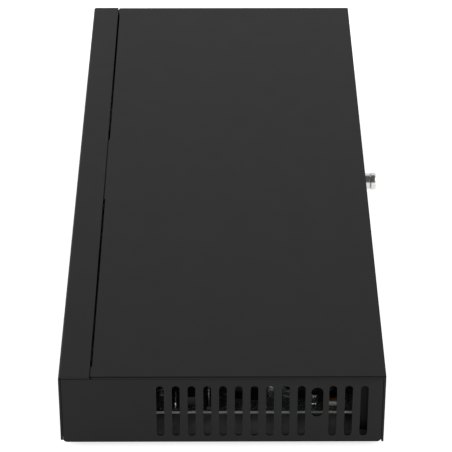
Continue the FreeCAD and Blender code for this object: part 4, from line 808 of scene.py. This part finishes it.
# %% [markdown]
# ## Floor and light
# A product table is lit from below as well as from around it, so the floor glows a little and shadows
# stay faint. The sky is a white screen that stands behind the table and fades to grey overhead and
# behind the viewer: that fade is what bright metal shows as its dark side. Two panels at the sides draw
# soft lines along the edges.

# %% Floor
FLOOR_GLOW = 0.75
floor_mesh = bmesh.new()
bmesh.ops.create_grid(floor_mesh, x_segments=1, y_segments=1, size=6.0)
floor_data = bpy.data.meshes.new("floor")
floor_mesh.to_mesh(floor_data)
floor_mesh.free()
floor_paint = finish("white floor", (0.92, 0.92, 0.92), 0.9, specular=0.1)
spread_colour(floor_paint, noise(floor_paint, 3.0), (0.915, 0.915, 0.915), (0.925, 0.925, 0.925))
shader_of(floor_paint).inputs["Emission Color"].default_value = (1.0, 1.0, 1.0, 1.0)
shader_of(floor_paint).inputs["Emission Strength"].default_value = FLOOR_GLOW
floor_data.materials.append(floor_paint)
floor = bpy.data.objects.new("floor", floor_data)
bpy.context.scene.collection.objects.link(floor)

# %% Light
LEAN_TO_FAR_END = 0.45
WHITE_UP_TO, GREY_FROM = 0.5, 0.8
OVERHEAD_GREY = 0.12


def panel(name, place, size, power, aim=(0, 0, 0.02)):
    lamp_data = bpy.data.lights.new(name, "AREA")
    lamp_data.shape = "RECTANGLE"
    lamp_data.size, lamp_data.size_y = size
    lamp_data.energy = power
    lamp = bpy.data.objects.new(name, lamp_data)
    lamp.location = place
    lamp.rotation_euler = (Vector(aim) - Vector(place)).to_track_quat("-Z", "Y").to_euler()
    bpy.context.scene.collection.objects.link(lamp)


panel("front panel light", (0.4, -2.2, 1.2), (1.6, 1.0), 14.0)
panel("rear panel light", (0.4, 2.2, 1.2), (1.6, 1.0), 14.0)

sky = bpy.data.worlds.new("sky")
sky.use_nodes = True
sky_nodes, sky_links = sky.node_tree.nodes, sky.node_tree.links
direction = sky_nodes.new("ShaderNodeTexCoord")
axes = sky_nodes.new("ShaderNodeSeparateXYZ")
lean = sky_nodes.new("ShaderNodeMath")
lean.operation = "MULTIPLY_ADD"
lean.inputs[1].default_value = LEAN_TO_FAR_END
fade = sky_nodes.new("ShaderNodeValToRGB")
fade.color_ramp.elements[0].position = WHITE_UP_TO
fade.color_ramp.elements[0].color = (1.0, 1.0, 1.0, 1.0)
fade.color_ramp.elements[1].position = GREY_FROM
fade.color_ramp.elements[1].color = (OVERHEAD_GREY, OVERHEAD_GREY, OVERHEAD_GREY, 1.0)
sky_links.new(direction.outputs["Generated"], axes.inputs["Vector"])
sky_links.new(axes.outputs["X"], lean.inputs[0])
sky_links.new(axes.outputs["Z"], lean.inputs[2])
sky_links.new(lean.outputs["Value"], fade.inputs["Fac"])
sky_links.new(fade.outputs["Color"], sky_nodes["Background"].inputs["Color"])
sky_nodes["Background"].inputs["Strength"].default_value = 1.0
bpy.context.scene.world = sky
bpy.context.scene.view_settings.view_transform = "Standard"
print("lights:", len(bpy.data.lights))
